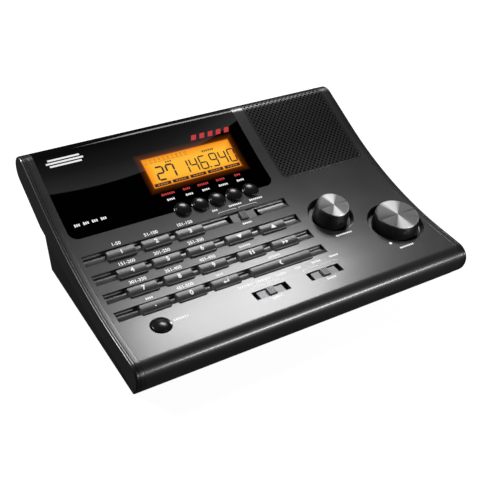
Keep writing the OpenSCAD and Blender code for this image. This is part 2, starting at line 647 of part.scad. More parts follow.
module aerial_jack() color("#c9c9c6") on_back(aerial_at) {
    difference() {
        union() {
            rod(6.8, -6, -2.1);
            rod(aerial_r, -2.2, 11);
            translate([0, 0, 0.05]) cylinder(r = 7, h = 2.2, $fn = 6);
        }
        rod(4.05, 3, 12);
    }
    difference() {
        rod(2.4, 2.9, 8);
        rod(0.7, 4, 9);
    }
}
module earphone_jack() color("#1b1b1d") on_back(earphone_at) difference() {
    union() {
        range_box([-4, 4], [-4.5, 4.5], [-15, -2.1]);
        rod(3.6, -2.2, 0.4);
    }
    rod(earphone_r, -14, 1);
}
module power_jack() color("#1b1b1d") on_back(power_socket_at) {
    difference() {
        union() {
            range_box([-4.8, 4.8], [-5.5, 5.5], [-13.5, -2.1]);
            rod(4.5, -2.2, 0);
        }
        rod(power_socket_r, -10, 1);
    }
    rod(1, -10.1, -0.8);
}

// ---------- battery bay ----------

module battery_cells() color("#b98a3a")
    for (y = [38, 53.3]) translate([(bay_x[0] + bay_x[1] - cell_length) / 2, y, floor_z + 2.1 + cell_r])
        rotate([0, 90, 0]) {
            cylinder(r = cell_r, h = cell_length - 1);
            translate([0, 0, cell_length - 1.1]) cylinder(r = 2.6, h = 1.1);
        }
module battery_contacts() color("#d0d2d4") {
    for (x = [bay_x[0] + 0.05, bay_x[1] - 0.45])
        range_box([x, x + 0.4], [bay_y[0] + 1, bay_y[1] - 1], [floor_top + 1, 17]);
    for (y = [38, 53.3]) translate([0, y, floor_z + 2.1 + cell_r]) rotate([0, 90, 0]) {
        ring(4, 3.2, bay_x[0] + 0.4, (bay_x[0] + bay_x[1] - cell_length) / 2 - 0.05);
        rod(3, (bay_x[0] + bay_x[1] + cell_length) / 2 + 0.05, bay_x[1] - 0.4);
    }
}
module battery_door() color("#1d1d1f") {
    range_box([door_x[0] + 2, door_x[1] - 2], [bay_y[0] - 0.5, rear_box_y], [floor_z, floor_z + 0.9]);
    range_box(door_x, [bay_y[0] - 0.5, rear_box_y], [floor_z + 1 - 0.05, floor_z + 1.8]);
    range_box([door_x[0] + 2, door_x[1] - 2], [bay_y[0] - 0.5, rear_box_y], [floor_z + 0.8, floor_z + 1]);
}

top_housing();
left_side_cheek();
right_side_cheek();
base_cover();
rear_panel();
display_window();
lcd_frame();
lcd_glass();
backlight_panel();
speaker_grille();
speaker_basket();
speaker_cone();
speaker_magnet();
rubber_keymat();
key_board();
switch_boards();
switch_bodies();
main_board();
board_components();
volume_controls();
aerial_jack();
power_jack();
earphone_jack();
screws();
rubber_feet();
battery_cells();
battery_contacts();
battery_door();
number_key(0);  // key_1
number_key(1);  // key_2
number_key(2);  // key_3
number_key(3);  // key_4
number_key(4);  // key_5
number_key(5);  // key_6
number_key(6);  // key_7
number_key(7);  // key_8
number_key(8);  // key_9
number_key(9);  // key_point
number_key(10);  // key_0
number_key(11);  // key_enter
word_key(1, 3);  // key_down
word_key(1, 4);  // key_up
word_key(2, 3);  // key_hold
word_key(2, 4);  // key_scan
key_snooze();
function_button(0);  // function_button_1
function_button(1);  // function_button_2
function_button(2);  // function_button_3
function_button(3);  // function_button_4
function_button(4);  // function_button_5
power_button();
mode_slider();
time_slider();
alarm_slider();
squelch_knob();
squelch_knob_cap();
squelch_shaft();
volume_knob();
volume_knob_cap();
volume_shaft();
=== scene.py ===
# %% [markdown]
# # A desktop radio scanner with a clock
# This lesson dresses a packed engineering model of a sloping desktop receiver. The engineering
# model holds every size and every joint, so each new piece is made where that model says and
# then rides on the body that it belongs to.

import json
import math

import bpy
from mathutils import Matrix, Vector

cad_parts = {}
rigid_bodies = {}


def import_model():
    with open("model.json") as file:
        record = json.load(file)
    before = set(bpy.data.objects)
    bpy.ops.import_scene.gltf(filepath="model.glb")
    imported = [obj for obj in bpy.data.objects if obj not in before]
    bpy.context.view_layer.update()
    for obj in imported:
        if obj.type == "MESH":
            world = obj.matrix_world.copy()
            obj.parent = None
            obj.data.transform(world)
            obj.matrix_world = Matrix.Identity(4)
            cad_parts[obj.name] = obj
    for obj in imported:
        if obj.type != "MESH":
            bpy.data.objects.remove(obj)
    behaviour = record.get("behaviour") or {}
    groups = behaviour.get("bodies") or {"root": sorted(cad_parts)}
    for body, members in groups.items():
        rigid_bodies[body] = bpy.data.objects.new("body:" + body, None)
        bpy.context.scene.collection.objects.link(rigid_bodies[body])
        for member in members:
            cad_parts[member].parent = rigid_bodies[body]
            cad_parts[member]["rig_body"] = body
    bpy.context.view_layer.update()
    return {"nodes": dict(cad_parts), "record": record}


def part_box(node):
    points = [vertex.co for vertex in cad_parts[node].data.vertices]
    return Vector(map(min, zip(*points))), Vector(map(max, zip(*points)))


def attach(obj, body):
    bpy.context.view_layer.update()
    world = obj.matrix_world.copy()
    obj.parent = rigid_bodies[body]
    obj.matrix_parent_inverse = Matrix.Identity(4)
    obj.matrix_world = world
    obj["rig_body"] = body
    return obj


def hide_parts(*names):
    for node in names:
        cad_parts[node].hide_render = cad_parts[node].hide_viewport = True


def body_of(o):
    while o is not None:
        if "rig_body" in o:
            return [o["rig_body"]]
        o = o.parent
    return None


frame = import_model()
MM = 0.001

# %% [markdown]
# ## The camera comes first
# Someone standing a little to the left of the set looks down on it at about 38 degrees. A camera
# could be aimed with a constraint, but a fixed turn is steadier: it looks at a point in the
# middle of the case and then rolls by a few degrees, as a hand-held one does.

# %% Camera
CAMERA_AT = Vector((-0.2471, -0.3546, 0.3450))
LOOK_AT = Vector((-0.0138, -0.0185, 0.0300))
CAMERA_ROLL = math.radians(5.51)
bpy.ops.object.camera_add(location=CAMERA_AT)
camera = bpy.context.object
camera.name = "camera"
camera.data.sensor_width = 36
camera.data.lens = 64.08
aim = (LOOK_AT - CAMERA_AT).to_track_quat("-Z", "Y").to_matrix()
camera.rotation_euler = (aim @ Matrix.Rotation(CAMERA_ROLL, 3, "Z")).to_euler()
bpy.context.scene.camera = camera
bpy.context.scene.view_settings.view_transform = "Standard"
bpy.context.view_layer.update()
print("camera's right hand points along", [round(c, 3) for c in camera.matrix_world.col[0][:3]])

# %% [markdown]
# ## Hand tools
# Every piece is made with the same few moves: draw an outline point by point, push it out into a
# bar or spin it round an axle, cut openings with a second shape, and round the edges. Real
# mouldings never have knife-sharp edges, and it is the small round edge that catches the light.

# %% Selecting, drawing and placing
def put_down():
    """Leaves edit mode with nothing selected."""
    if bpy.context.mode != "OBJECT":
        bpy.ops.object.mode_set(mode="OBJECT")
    bpy.ops.object.select_all(action="DESELECT")


def take(*obs):
    """Selects these objects and makes the first one active."""
    put_down()
    for ob in obs:
        ob.select_set(True)
    bpy.context.view_layer.objects.active = obs[0]


def edit(ob):
    """Edit mode with the whole mesh selected."""
    take(ob)
    bpy.ops.object.mode_set(mode="EDIT")
    bpy.ops.mesh.select_mode(type="VERT")
    bpy.ops.mesh.select_all(action="SELECT")


def draw(name, points, fill=True):
    """An outline drawn point by point with the extrude key, and filled if asked."""
    put_down()
    bpy.ops.mesh.primitive_plane_add(size=MM)
    ob = bpy.context.object
    ob.name = name
    edit(ob)
    bpy.ops.mesh.merge(type="CENTER")
    bpy.ops.transform.translate(value=points[0])
    for a, b in zip(points, points[1:]):
        bpy.ops.mesh.extrude_region_move(TRANSFORM_OT_translate={"value": Vector(b) - Vector(a)})
    bpy.ops.mesh.select_all(action="SELECT")
    if fill:
        bpy.ops.mesh.edge_face_add()
    return ob


def prism(name, outline, x0, x1):
    """A side outline, as (y, z) points, pushed out along X."""
    ob = draw(name, [(x0, y, z) for y, z in outline])
    bpy.ops.mesh.extrude_region_move(TRANSFORM_OT_translate={"value": (x1 - x0, 0, 0)})
    bpy.ops.mesh.select_all(action="SELECT")
    bpy.ops.mesh.normals_make_consistent(inside=False)
    put_down()
    return ob


def plate(name, outline, z0, z1):
    """A plan outline, as (x, y) points, pushed up along Z."""
    ob = draw(name, [(x, y, z0) for x, y in outline])
    bpy.ops.mesh.extrude_region_move(TRANSFORM_OT_translate={"value": (0, 0, z1 - z0)})
    bpy.ops.mesh.select_all(action="SELECT")
    bpy.ops.mesh.normals_make_consistent(inside=False)
    put_down()
    return ob


def turned(name, outline, steps=64):
    """An outline, as (radius, z) points, spun round Z like work on a lathe."""
    ob = draw(name, [(r, 0, z) for r, z in outline], fill=False)
    bpy.ops.mesh.spin(steps=steps, angle=2 * math.pi, center=(0, 0, 0), axis=(0, 0, 1))
    bpy.ops.mesh.select_all(action="SELECT")
    bpy.ops.mesh.remove_doubles(threshold=0.002 * MM)
    bpy.ops.mesh.normals_make_consistent(inside=False)
    put_down()
    return ob


def place(ob, matrix):
    """Moves a piece to its frame and leaves its object at the origin, unturned."""
    take(ob)
    ob.matrix_world = matrix
    bpy.ops.object.transform_apply(location=True, rotation=True, scale=True)
    return ob


def copy_of(ob, name):
    take(ob)
    bpy.ops.object.duplicate()
    twin = bpy.context.object
    twin.name = name
    return twin


def joined(name, obs):
    """Several pieces made into one object."""
    take(*obs)
    if len(obs) > 1:
        bpy.ops.object.join()
    obs[0].name = name
    return obs[0]


# %% Modifiers: cutting, rounding and smoothing
def apply(ob, kind, **settings):
    take(ob)
    modifier = ob.modifiers.new(kind.lower(), kind)
    for key, value in settings.items():
        setattr(modifier, key, value)
    bpy.ops.object.modifier_apply(modifier=modifier.name)


def cut(ob, tool, how="DIFFERENCE"):
    """Cuts, adds or keeps what a second shape covers, then throws that shape away."""
    apply(ob, "BOOLEAN", operation=how, solver="EXACT", object=tool)
    take(tool)
    bpy.ops.object.delete()


def round_edges(ob, width, segments=3, angle=30):
    apply(ob, "BEVEL", width=width, segments=segments, limit_method="ANGLE", angle_limit=math.radians(angle))


def smooth(ob, angle=32):
    """Smooth shading that leaves sharp edges sharp and big flat faces flat."""
    take(ob)
    bpy.ops.object.shade_smooth_by_angle(angle=math.radians(angle))
    apply(ob, "WEIGHTED_NORMAL", keep_sharp=True, weight=80)


# %% [markdown]
# ## The side profile
# The top of the case is one sheet with a round nose, a flat front, a hollow bend and a straight
# slope that ends in a round back edge. Arcs from a few centres describe it exactly, so every
# piece that follows the skin takes its points from the same functions.

# %% Profile of the case
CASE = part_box("top_housing")
PANEL_HALF = CASE[1].x
FRONT_Y, REAR_Y = CASE[0].y, CASE[1].y
CHEEK_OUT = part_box("right_side_cheek")[1].x
PANEL_TOP = 24.7 * MM
NOSE_TOP_R, NOSE_LOW_R, LIP_ANGLE = 8.5 * MM, 14 * MM, 49.6
NOSE_TOP_C = (FRONT_Y + NOSE_TOP_R, PANEL_TOP - NOSE_TOP_R)
NOSE_LOW_C = (FRONT_Y + NOSE_LOW_R, PANEL_TOP - NOSE_TOP_R)
BEND_R, REAR_SLOPE, BEND_Y = 253 * MM, 24, FRONT_Y + 25 * MM
BEND_C = (BEND_Y, PANEL_TOP + BEND_R)
BEND_END_Y = BEND_Y + BEND_R * math.sin(math.radians(REAR_SLOPE))
BEND_END_Z = PANEL_TOP + BEND_R * (1 - math.cos(math.radians(REAR_SLOPE)))
END_R, UNDER_SLOPE = 9.5 * MM, 25
END_TOUCH_Y = REAR_Y - END_R - END_R * math.sin(math.radians(REAR_SLOPE))
CHEEK_DEPTH, WALL = 13.5 * MM, 2.5 * MM


def panel_slope(y):
    """Slope of the top panel at y, in radians."""
    if y < BEND_Y:
        return 0.0
    return math.asin((y - BEND_Y) / BEND_R) if y < BEND_END_Y else math.radians(REAR_SLOPE)


def panel_z(y):
    """Height of the top panel at y."""
    if y < BEND_Y:
        return PANEL_TOP
    if y < BEND_END_Y:
        return BEND_C[1] - math.sqrt(BEND_R**2 - (y - BEND_Y) ** 2)
    return BEND_END_Z + (y - BEND_END_Y) * math.tan(math.radians(REAR_SLOPE))


END_C = (REAR_Y - END_R, panel_z(END_TOUCH_Y) - END_R * math.cos(math.radians(REAR_SLOPE)))


def on_panel(x, y, tilt=None):
    """A frame on the panel, with Z along its normal and Y up the slope."""
    turn = panel_slope(y) if tilt is None else tilt
    return Matrix.Translation((x, y, panel_z(y))) @ Matrix.Rotation(turn, 4, "X")


def arc(c, r, a0, a1, n):
    angles = [math.radians(a0 + (a1 - a0) * i / n) for i in range(n + 1)]
    return [(c[0] + r * math.cos(a), c[1] + r * math.sin(a)) for a in angles]


def bend(d, a0=0.0, n=36):
    return arc(BEND_C, BEND_R + d, a0 - 90, REAR_SLOPE - 90, n)


def back_edge(d, last=UNDER_SLOPE - 90, n=24):
    return arc(END_C, END_R - d, 90 + REAR_SLOPE, last, n)


def nose(d):
    return arc(NOSE_LOW_C, NOSE_LOW_R - d, 180 + LIP_ANGLE, 180, 12) + arc(NOSE_TOP_C, NOSE_TOP_R - d, 180,
            90, 20)[1:]


UNDER = (END_C[0] + END_R * math.sin(math.radians(UNDER_SLOPE)),
         END_C[1] - END_R * math.cos(math.radians(UNDER_SLOPE)))
KINK = (UNDER[0] - 32 * MM, UNDER[1] - 32 * MM * math.tan(math.radians(UNDER_SLOPE)))
EDGE_TURN = math.degrees(math.asin((5 * MM - BEND_Y) / BEND_R))


def cheek_outline(d=0.0):
    """The side profile, drawn in by d all round."""
    lower = arc(BEND_C, BEND_R + CHEEK_DEPTH - d, EDGE_TURN - 90, -90, 10)
    front = [(BEND_Y - 7 * MM, PANEL_TOP - CHEEK_DEPTH - 0.6 * MM + d),
             (BEND_Y - 14 * MM, PANEL_TOP - CHEEK_DEPTH - 2 * MM + d)]
    return nose(d) + bend(d) + back_edge(d) + [(KINK[0], KINK[1] + d)] + lower + front


def sheet(y, d0, d1, last):
    """Outline of a sheet let into the skin from y to the back edge, between two depths."""
    a0 = math.degrees(panel_slope(y))
    outer = bend(d0, a0, 18) + back_edge(d0, last, 18)[1:]
    return outer + (bend(d1, a0, 18) + back_edge(d1, last, 18)[1:])[::-1]


print("top of the case at", round(max(z for _, z in nose(0) + bend(0) + back_edge(0)) / MM, 2), "mm")

# %% [markdown]
# ## Finishes
# Most of the set is moulded plastic. Plain plastic would be one flat colour, so each finish gets a
# fine grain that moves both the colour and the height a little, at the scale of a spark-eroded
# mould or of metal flakes in paint. Patterns read Object coordinates, which never slide.

# %% A maker of plastic and paint finishes
def blank(name, colour, rough, metal=0.0, **sockets):
    """A material with one shader, its constant values set straight on the sockets."""
    mat = bpy.data.materials.new(name)
    mat.use_nodes = True
    shader = mat.node_tree.nodes["Principled BSDF"]
    shader.inputs["Base Color"].default_value = (*colour, 1)
    shader.inputs["Roughness"].default_value = rough
    shader.inputs["Metallic"].default_value = metal
    for key, value in sockets.items():
        shader.inputs[key.replace("_", " ")].default_value = value
    return mat, shader


def node(mat, kind, links=(), **settings):
    """Adds a node; links are (input, output socket) pairs, settings are properties or values."""
    made = mat.node_tree.nodes.new("ShaderNode" + kind)
    for key, value in settings.items():
        if hasattr(made, key):
            setattr(made, key, value)
        else:
            made.inputs[key.replace("_", " ")].default_value = value
    for key, socket in links:
        mat.node_tree.links.new(socket, made.inputs[key])
    return made


def link(mat, a, b):
    mat.node_tree.links.new(a, b)


def ramp(mat, socket, stops, **settings):
    """A colour ramp with (place, grey or colour) stops."""
    made = node(mat, "ValToRGB", [("Fac", socket)])
    for key, value in settings.items():
        setattr(made.color_ramp, key, value)
    for i, (at, tone) in enumerate(stops):
        spot = made.color_ramp.elements[i] if i < 2 else made.color_ramp.elements.new(at)
        spot.position = at
        spot.color = (*(tone if isinstance(tone, tuple) else (tone,) * 3), 1)
    return made.outputs["Color"]


def grained(name, colour, rough, metal=0.0, grain=1.6, depth=0.02, spread=0.12, **sockets):
    """Plastic or paint with a fine grain; grain is its size in tenths of a millimetre."""
    mat, shader = blank(name, colour, rough, metal, **sockets)
    where = node(mat, "TexCoord").outputs["Object"]
    fine = node(mat, "TexNoise", [("Vector", where)], Scale=1 / (grain * 0.1 * MM), Detail=2.0)
    cloud = node(mat, "TexNoise", [("Vector", where)], Scale=28.0, Detail=3.0)
    both = node(mat, "Math", [(0, fine.outputs["Fac"]), (1, cloud.outputs["Fac"])], operation="ADD")
    half = node(mat, "Math", [(0, both.outputs[0])], operation="MULTIPLY")
    half.inputs[1].default_value = 0.5
    dark = tuple(c * (1 - spread) for c in colour)
    light = tuple(min(1, c * (1 + spread)) for c in colour)
    link(mat, ramp(mat, half.outputs[0], [(0.3, dark), (0.7, light)]), shader.inputs["Base Color"])
    gloss = node(mat, "MapRange", [("Value", half.outputs[0])])
    for key, value in (("From Min", 0.3), ("From Max", 0.7), ("To Min", rough * 0.88),
                       ("To Max", rough * 1.12)):
        gloss.inputs[key].default_value = value
    link(mat, gloss.outputs["Result"], shader.inputs["Roughness"])
    bump = node(mat, "Bump", [("Height", fine.outputs["Fac"])], Strength=1.0, Distance=depth * MM)
    link(mat, bump.outputs["Normal"], shader.inputs["Normal"])
    return mat


# %% The finishes of this set
PANEL = grained("panel_paint", (0.050, 0.050, 0.052), 0.38, metal=0.5, grain=1.4, depth=0.012, spread=0.16,
               Coat_Weight=0.8, Coat_Roughness=0.21)
CHEEK = grained("cheek_plastic", (0.026, 0.026, 0.028), 0.34, metal=0.25, grain=2.0, depth=0.02,
               Coat_Weight=1.0, Coat_Roughness=0.25)
BASE = grained("base_plastic", (0.008, 0.008, 0.009), 0.50, grain=3.0, depth=0.04)
KEYCAP = grained("key_paint", (0.115, 0.115, 0.118), 0.36, metal=0.6, grain=2.4, depth=0.04, spread=0.2)
BUTTON = grained("button_plastic", (0.012, 0.012, 0.013), 0.25, grain=4.0, depth=0.002)
SLIDER = grained("slider_paint", (0.16, 0.16, 0.165), 0.40, metal=0.5, grain=2.4, depth=0.03)
KNOB = grained("knob_plastic", (0.014, 0.014, 0.015), 0.36, grain=2.4, depth=0.012)
GRILLE = grained("grille_paint", (0.035, 0.035, 0.037), 0.34, metal=0.4, grain=1.6, depth=0.008)
CLOTH = grained("speaker_cloth", (0.004, 0.004, 0.004), 0.9, grain=2.6, depth=0.08)
# the white and red print also glow a little, a painted brightness added to their own colour
WHITE = grained("white_print_painted_glow", (0.82, 0.82, 0.82), 0.5, grain=0.8, depth=0.002, spread=0.05,
               Emission_Color=(1, 1, 1, 1), Emission_Strength=0.45)
RED = grained("red_print_painted_glow", (0.62, 0.012, 0.018), 0.5, grain=0.8, depth=0.002, spread=0.05,
             Emission_Color=(1, 0.02, 0.03, 1), Emission_Strength=0.18)
BLACK = grained("black_print", (0.006, 0.005, 0.004), 0.45, grain=0.8, depth=0.002, spread=0.1)
RUBBER = grained("foot_rubber", (0.018, 0.018, 0.018), 0.8, grain=4.0, depth=0.06)
BOARD = grained("board_mask", (0.02, 0.13, 0.05), 0.4, grain=6.0, depth=0.01)
PARTS = grained("moulded_parts", (0.03, 0.03, 0.032), 0.55, grain=3.0, depth=0.03)
PALE = grained("pale_moulding", (0.8, 0.8, 0.77), 0.5, grain=3.0, depth=0.02, spread=0.05)
JACKET = grained("cell_jacket", (0.42, 0.24, 0.06), 0.3, grain=8.0, depth=0.01)
STEEL = grained("pressed_steel", (0.58, 0.58, 0.6), 0.32, metal=1.0, grain=5.0, depth=0.01, spread=0.08)
PLATED = grained("nickel_plate", (0.74, 0.72, 0.68), 0.2, metal=1.0, grain=6.0, depth=0.004, spread=0.05)
CONE = grained("cone_paper", (0.02, 0.02, 0.02), 0.85, grain=5.0, depth=0.1, spread=0.3)
print("finishes:", len(bpy.data.materials))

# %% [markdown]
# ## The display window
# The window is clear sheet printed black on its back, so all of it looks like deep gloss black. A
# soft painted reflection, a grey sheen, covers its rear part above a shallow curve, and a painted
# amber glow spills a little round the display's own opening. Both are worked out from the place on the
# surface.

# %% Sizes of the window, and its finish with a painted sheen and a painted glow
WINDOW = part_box("display_window")
WINDOW_FRONT = 16.2 * MM
DISPLAY_AT = (-12.5 * MM, 45 * MM)
DISPLAY_W, DISPLAY_D = 63.5 * MM, 22.1 * MM


def formula(mat, kind, a, b=None):
    """One Math node; a and b are sockets or numbers."""
    made = node(mat, "Math", operation=kind)
    for i, value in enumerate((a, b)):
        if isinstance(value, (int, float)):
            made.inputs[i].default_value = value
        elif value is not None:
            link(mat, value, made.inputs[i])
    return made.outputs[0]


def window_with_painted_light():
    mat, shader = blank("window_gloss_painted_light", (0.002, 0.002, 0.002), 0.07, Specular_IOR_Level=0.12)
    place_on = node(mat, "TexCoord").outputs["Object"]
    axes = node(mat, "SeparateXYZ", [("Vector", place_on)])
    x, y = axes.outputs[0], axes.outputs[1]
    # the curve that the painted reflection (sheen) starts from, as a shallow parabola
    across = formula(mat, "ADD", x, 75 * MM)
    curve = formula(mat, "ADD", formula(mat, "MULTIPLY", formula(mat, "MULTIPLY", across, across), 1.71),
                    46 * MM)
    above = formula(mat, "SUBTRACT", y, curve)
    sheen = ramp(mat, formula(mat, "MULTIPLY", above, 1 / (36 * MM)), [
        (0.0, 0.0), (0.02, 0.045), (0.35, 0.018), (0.75, 0.005), (1.0, 0.002)])
    # distance outside the display opening, in the plane of the slope, over which the painted amber glow fades
    # out
    along = formula(mat, "DIVIDE", formula(mat, "SUBTRACT", y, DISPLAY_AT[1]),
                    math.cos(math.radians(REAR_SLOPE)))
    out_x = formula(mat, "SUBTRACT", formula(mat, "ABSOLUTE", formula(mat, "SUBTRACT", x, DISPLAY_AT[0])),
                    DISPLAY_W / 2)
    out_y = formula(mat, "SUBTRACT", formula(mat, "ABSOLUTE", along), DISPLAY_D / 2)
    outside = formula(mat, "MAXIMUM", out_x, out_y)
    painted_glow = ramp(mat, formula(mat, "MULTIPLY", outside, 1 / (4.5 * MM)), [
        (0.0, (0.22, 0.055, 0.002)), (0.25, (0.07, 0.015, 0.001)), (1.0, (0.0, 0.0, 0.0))])
    # the painted reflection, a grey sheen, is set as the window's base colour
    link(mat, sheen, shader.inputs["Base Color"])
    # the painted amber glow round the display goes in as emission on the window
    link(mat, painted_glow, shader.inputs["Emission Color"])
    shader.inputs["Emission Strength"].default_value = 1.0
    return mat


def display_finish():
    """Backlit amber, orange at the edges where the light guide is weaker."""
    mat, shader = blank("display_amber", (0.10, 0.04, 0.003), 0.25)
    axes = node(mat, "SeparateXYZ", [("Vector", node(mat, "TexCoord").outputs["Object"])])
    along = formula(mat, "DIVIDE", formula(mat, "SUBTRACT", axes.outputs[1], DISPLAY_AT[1]),
                    math.cos(math.radians(REAR_SLOPE)))
    in_x = formula(mat, "SUBTRACT", DISPLAY_W / 2,
                   formula(mat, "ABSOLUTE", formula(mat, "SUBTRACT", axes.outputs[0], DISPLAY_AT[0])))
    in_y = formula(mat, "SUBTRACT", DISPLAY_D / 2, formula(mat, "ABSOLUTE", along))
    inside = formula(mat, "MULTIPLY", formula(mat, "MINIMUM", in_x, in_y), 1 / (6 * MM))
    glow = ramp(mat, inside, [(0.0, (0.82, 0.22, 0.004)), (0.25, (0.95, 0.33, 0.010)),
                              (1.0, (1.0, 0.50, 0.035))])
    link(mat, glow, shader.inputs["Emission Color"])
    shader.inputs["Emission Strength"].default_value = 0.95
    return mat


WINDOW_GLOSS_PAINTED_LIGHT = window_with_painted_light()
AMBER = display_finish()

# %% [markdown]
# ## Spun metal
# The caps of the knobs are turned on a lathe, and the fine rings scatter light into bright
# wedge shapes that fan out from the middle. A radial pattern paints these highlights into the colour,
# and thin dark scratches that run outwards break them up. The pattern is centred on each knob by a Mapping
# node.

# %% Finish of a knob cap
def spun(name, matrix, turn):
    """Spun aluminium with painted highlights, bright rays fanning out from the middle of the knob."""
    mat, shader = blank(name, (0.5, 0.5, 0.51), 0.46, metal=0.9)
    where = node(mat, "TexCoord").outputs["Object"]
    back = matrix.inverted()
    centred = node(mat, "Mapping", [("Vector", where)], vector_type="POINT")
    centred.inputs["Location"].default_value = back.to_translation()
    centred.inputs["Rotation"].default_value = back.to_euler()
    turned_on = node(mat, "VectorRotate", [("Vector", centred.outputs[0])], rotation_type="Z_AXIS",
                     Angle=math.radians(turn))
    rays = node(mat, "TexGradient", [("Vector", turned_on.outputs[0])], gradient_type="RADIAL")
    # painted highlights: bright rays and two thin dark ones, set in the base colour by the angle round the
    # knob
    painted_highlights = ramp(mat, rays.outputs["Fac"], [
        (0.0, 0.07), (0.012, 0.20), (0.13, 0.16), (0.17, 0.72), (0.25, 0.78), (0.29, 0.22), (0.40,
                0.17), (0.49, 0.20),
        (0.50, 0.05), (0.512, 0.17), (0.62, 0.18), (0.67, 0.72), (0.77, 0.80), (0.82, 0.22), (0.93,
                0.17), (1.0, 0.09)])
    fine = node(mat, "CombineXYZ", [("X", formula(mat, "MULTIPLY", rays.outputs["Fac"], 60.0))])
    lines = node(mat, "TexNoise", [("Vector", fine.outputs[0])], Scale=1.0, Detail=4.0)
    streak = ramp(mat, lines.outputs["Fac"], [(0.3, 0.72), (0.7, 1.0)])
    mixed = node(mat, "Mix", data_type="RGBA", blend_type="MULTIPLY")
    mixed.inputs[0].default_value = 1.0
    link(mat, painted_highlights, mixed.inputs[6])
    link(mat, streak, mixed.inputs[7])
    link(mat, mixed.outputs[2], shader.inputs["Base Color"])
    return mat


# %% [markdown]
# ## Top housing
# The housing is one moulding. Its outline is drawn once and pushed out to the full width; the
# scooped troughs, the openings and the wells are then cut with shapes of their own, and all the
# new edges get a small round.

# %% Places of the controls
KEY_W, KEY_D, KEY_RISE = 17.5 * MM, 6.4 * MM, 1.9 * MM
ROW_Y = [(-1 - 14.4 * i) * MM for i in range(4)]
COLUMN_X = [x * MM for x in (-84, -61.3, -38.6, -12.3, 11.9)]
KEY_TILT = math.atan((panel_z(ROW_Y[0]) - panel_z(ROW_Y[3])) / (ROW_Y[0] - ROW_Y[3]))
GAP = 0.35 * MM
BAR_X = (COLUMN_X[3] + COLUMN_X[4]) / 2
BAR_W = COLUMN_X[4] - COLUMN_X[3] + KEY_W
NUMBER_KEYS = ["key_1", "key_2", "key_3", "key_4", "key_5", "key_6", "key_7", "key_8", "key_9", "key_point",
               "key_0", "key_enter"]
KEYS = {name: (COLUMN_X[i % 3], ROW_Y[i // 3], KEY_W) for i, name in enumerate(NUMBER_KEYS)}
KEYS.update(key_down=(COLUMN_X[3], ROW_Y[1], KEY_W), key_up=(COLUMN_X[4], ROW_Y[1], KEY_W))
KEYS.update(key_hold=(COLUMN_X[3], ROW_Y[2], KEY_W), key_scan=(COLUMN_X[4], ROW_Y[2], KEY_W))
KEYS["key_snooze"] = (BAR_X, ROW_Y[3], BAR_W)
SLOTS = {"mode_slider": (0, 0), "time_slider": (-18.2 * MM, -61.3 * MM),
         "alarm_slider": (19.8 * MM, -61.3 * MM)}
SLOT_W, SLOT_D = 23.6 * MM, 7 * MM
FUNCTION_Y, FUNCTION_R = 16 * MM, 4.6 * MM
FUNCTION_X = [(-34.6 + 12.3 * i) * MM for i in range(5)]
POWER_AT, POWER_R = (-87.6 * MM, -58.4 * MM), 5 * MM
KNOBS = {  # name: (x, y, cap radius, rise, well radius)
    "squelch": (54.3 * MM, -19.1 * MM, 10.2 * MM, 9 * MM, 15.3 * MM),
    "volume": (90 * MM, -41.8 * MM, 13.8 * MM, 7.3 * MM, 18.6 * MM)}
WELL_DEPTH = 3.4 * MM
TROUGH = (-106.9 * MM, 32.6 * MM)


# %% Shapes that cut the openings
def block(name, w, d, z0, z1, r=0.0):
    """A block on its own frame, with round upright edges if r is given."""
    if r:
        corners = []
        for cx, cy, a in ((1, 1, 0), (-1, 1, 90), (-1, -1, 180), (1, -1, 270)):
            corners += arc((cx * (w / 2 - r), cy * (d / 2 - r)), r, a, a + 90, 5)
    else:
        corners = [(-w / 2, -d / 2), (w / 2, -d / 2), (w / 2, d / 2), (-w / 2, d / 2)]
    return plate(name, corners, z0, z1)


def sheet_piece(name, x, y, r, d0, d1, last, grow):
    """Part of the skin with round front corners, from y over the back edge."""
    piece = prism(name, sheet(y - 1.5 * MM, d0, d1, last), x[0] - grow, x[1] + grow)
    plan = [(x[1] + grow, 0.12), (x[0] - grow, 0.12)]
    plan += arc((x[0] + r, y + r), r + grow, 180, 270, 8) + arc((x[1] - r, y + r), r + grow, 270, 360, 8)
    cut(piece, plate("plan", plan, -0.01, 0.12), "INTERSECT")
    return piece


def trough(y):
    """Steep at the rear and rising in a long scoop to the panel in front."""
    scoop = arc((-0.7 * MM, 10.4 * MM), 12.6 * MM, -101, -129.5, 10)
    corner = arc((-2.3 * MM, -0.25 * MM), 1.85 * MM, -8, -82, 10)
    outline = [(0.25 * MM, 2 * MM)] + corner + scoop + [(-9 * MM, 2 * MM)]
    return place(prism("trough", outline, *TROUGH), on_panel(0, y + 5.5 * MM))


def well(x, y, r):
    """A flat-floored dish with a slightly sloping wall."""
    rim = [(0, -WELL_DEPTH), (r - 1.6 * MM, -WELL_DEPTH), (r, 0.3 * MM), (r, 4 * MM), (0, 4 * MM)]
    return place(turned("well", rim, 96), on_panel(x, y))


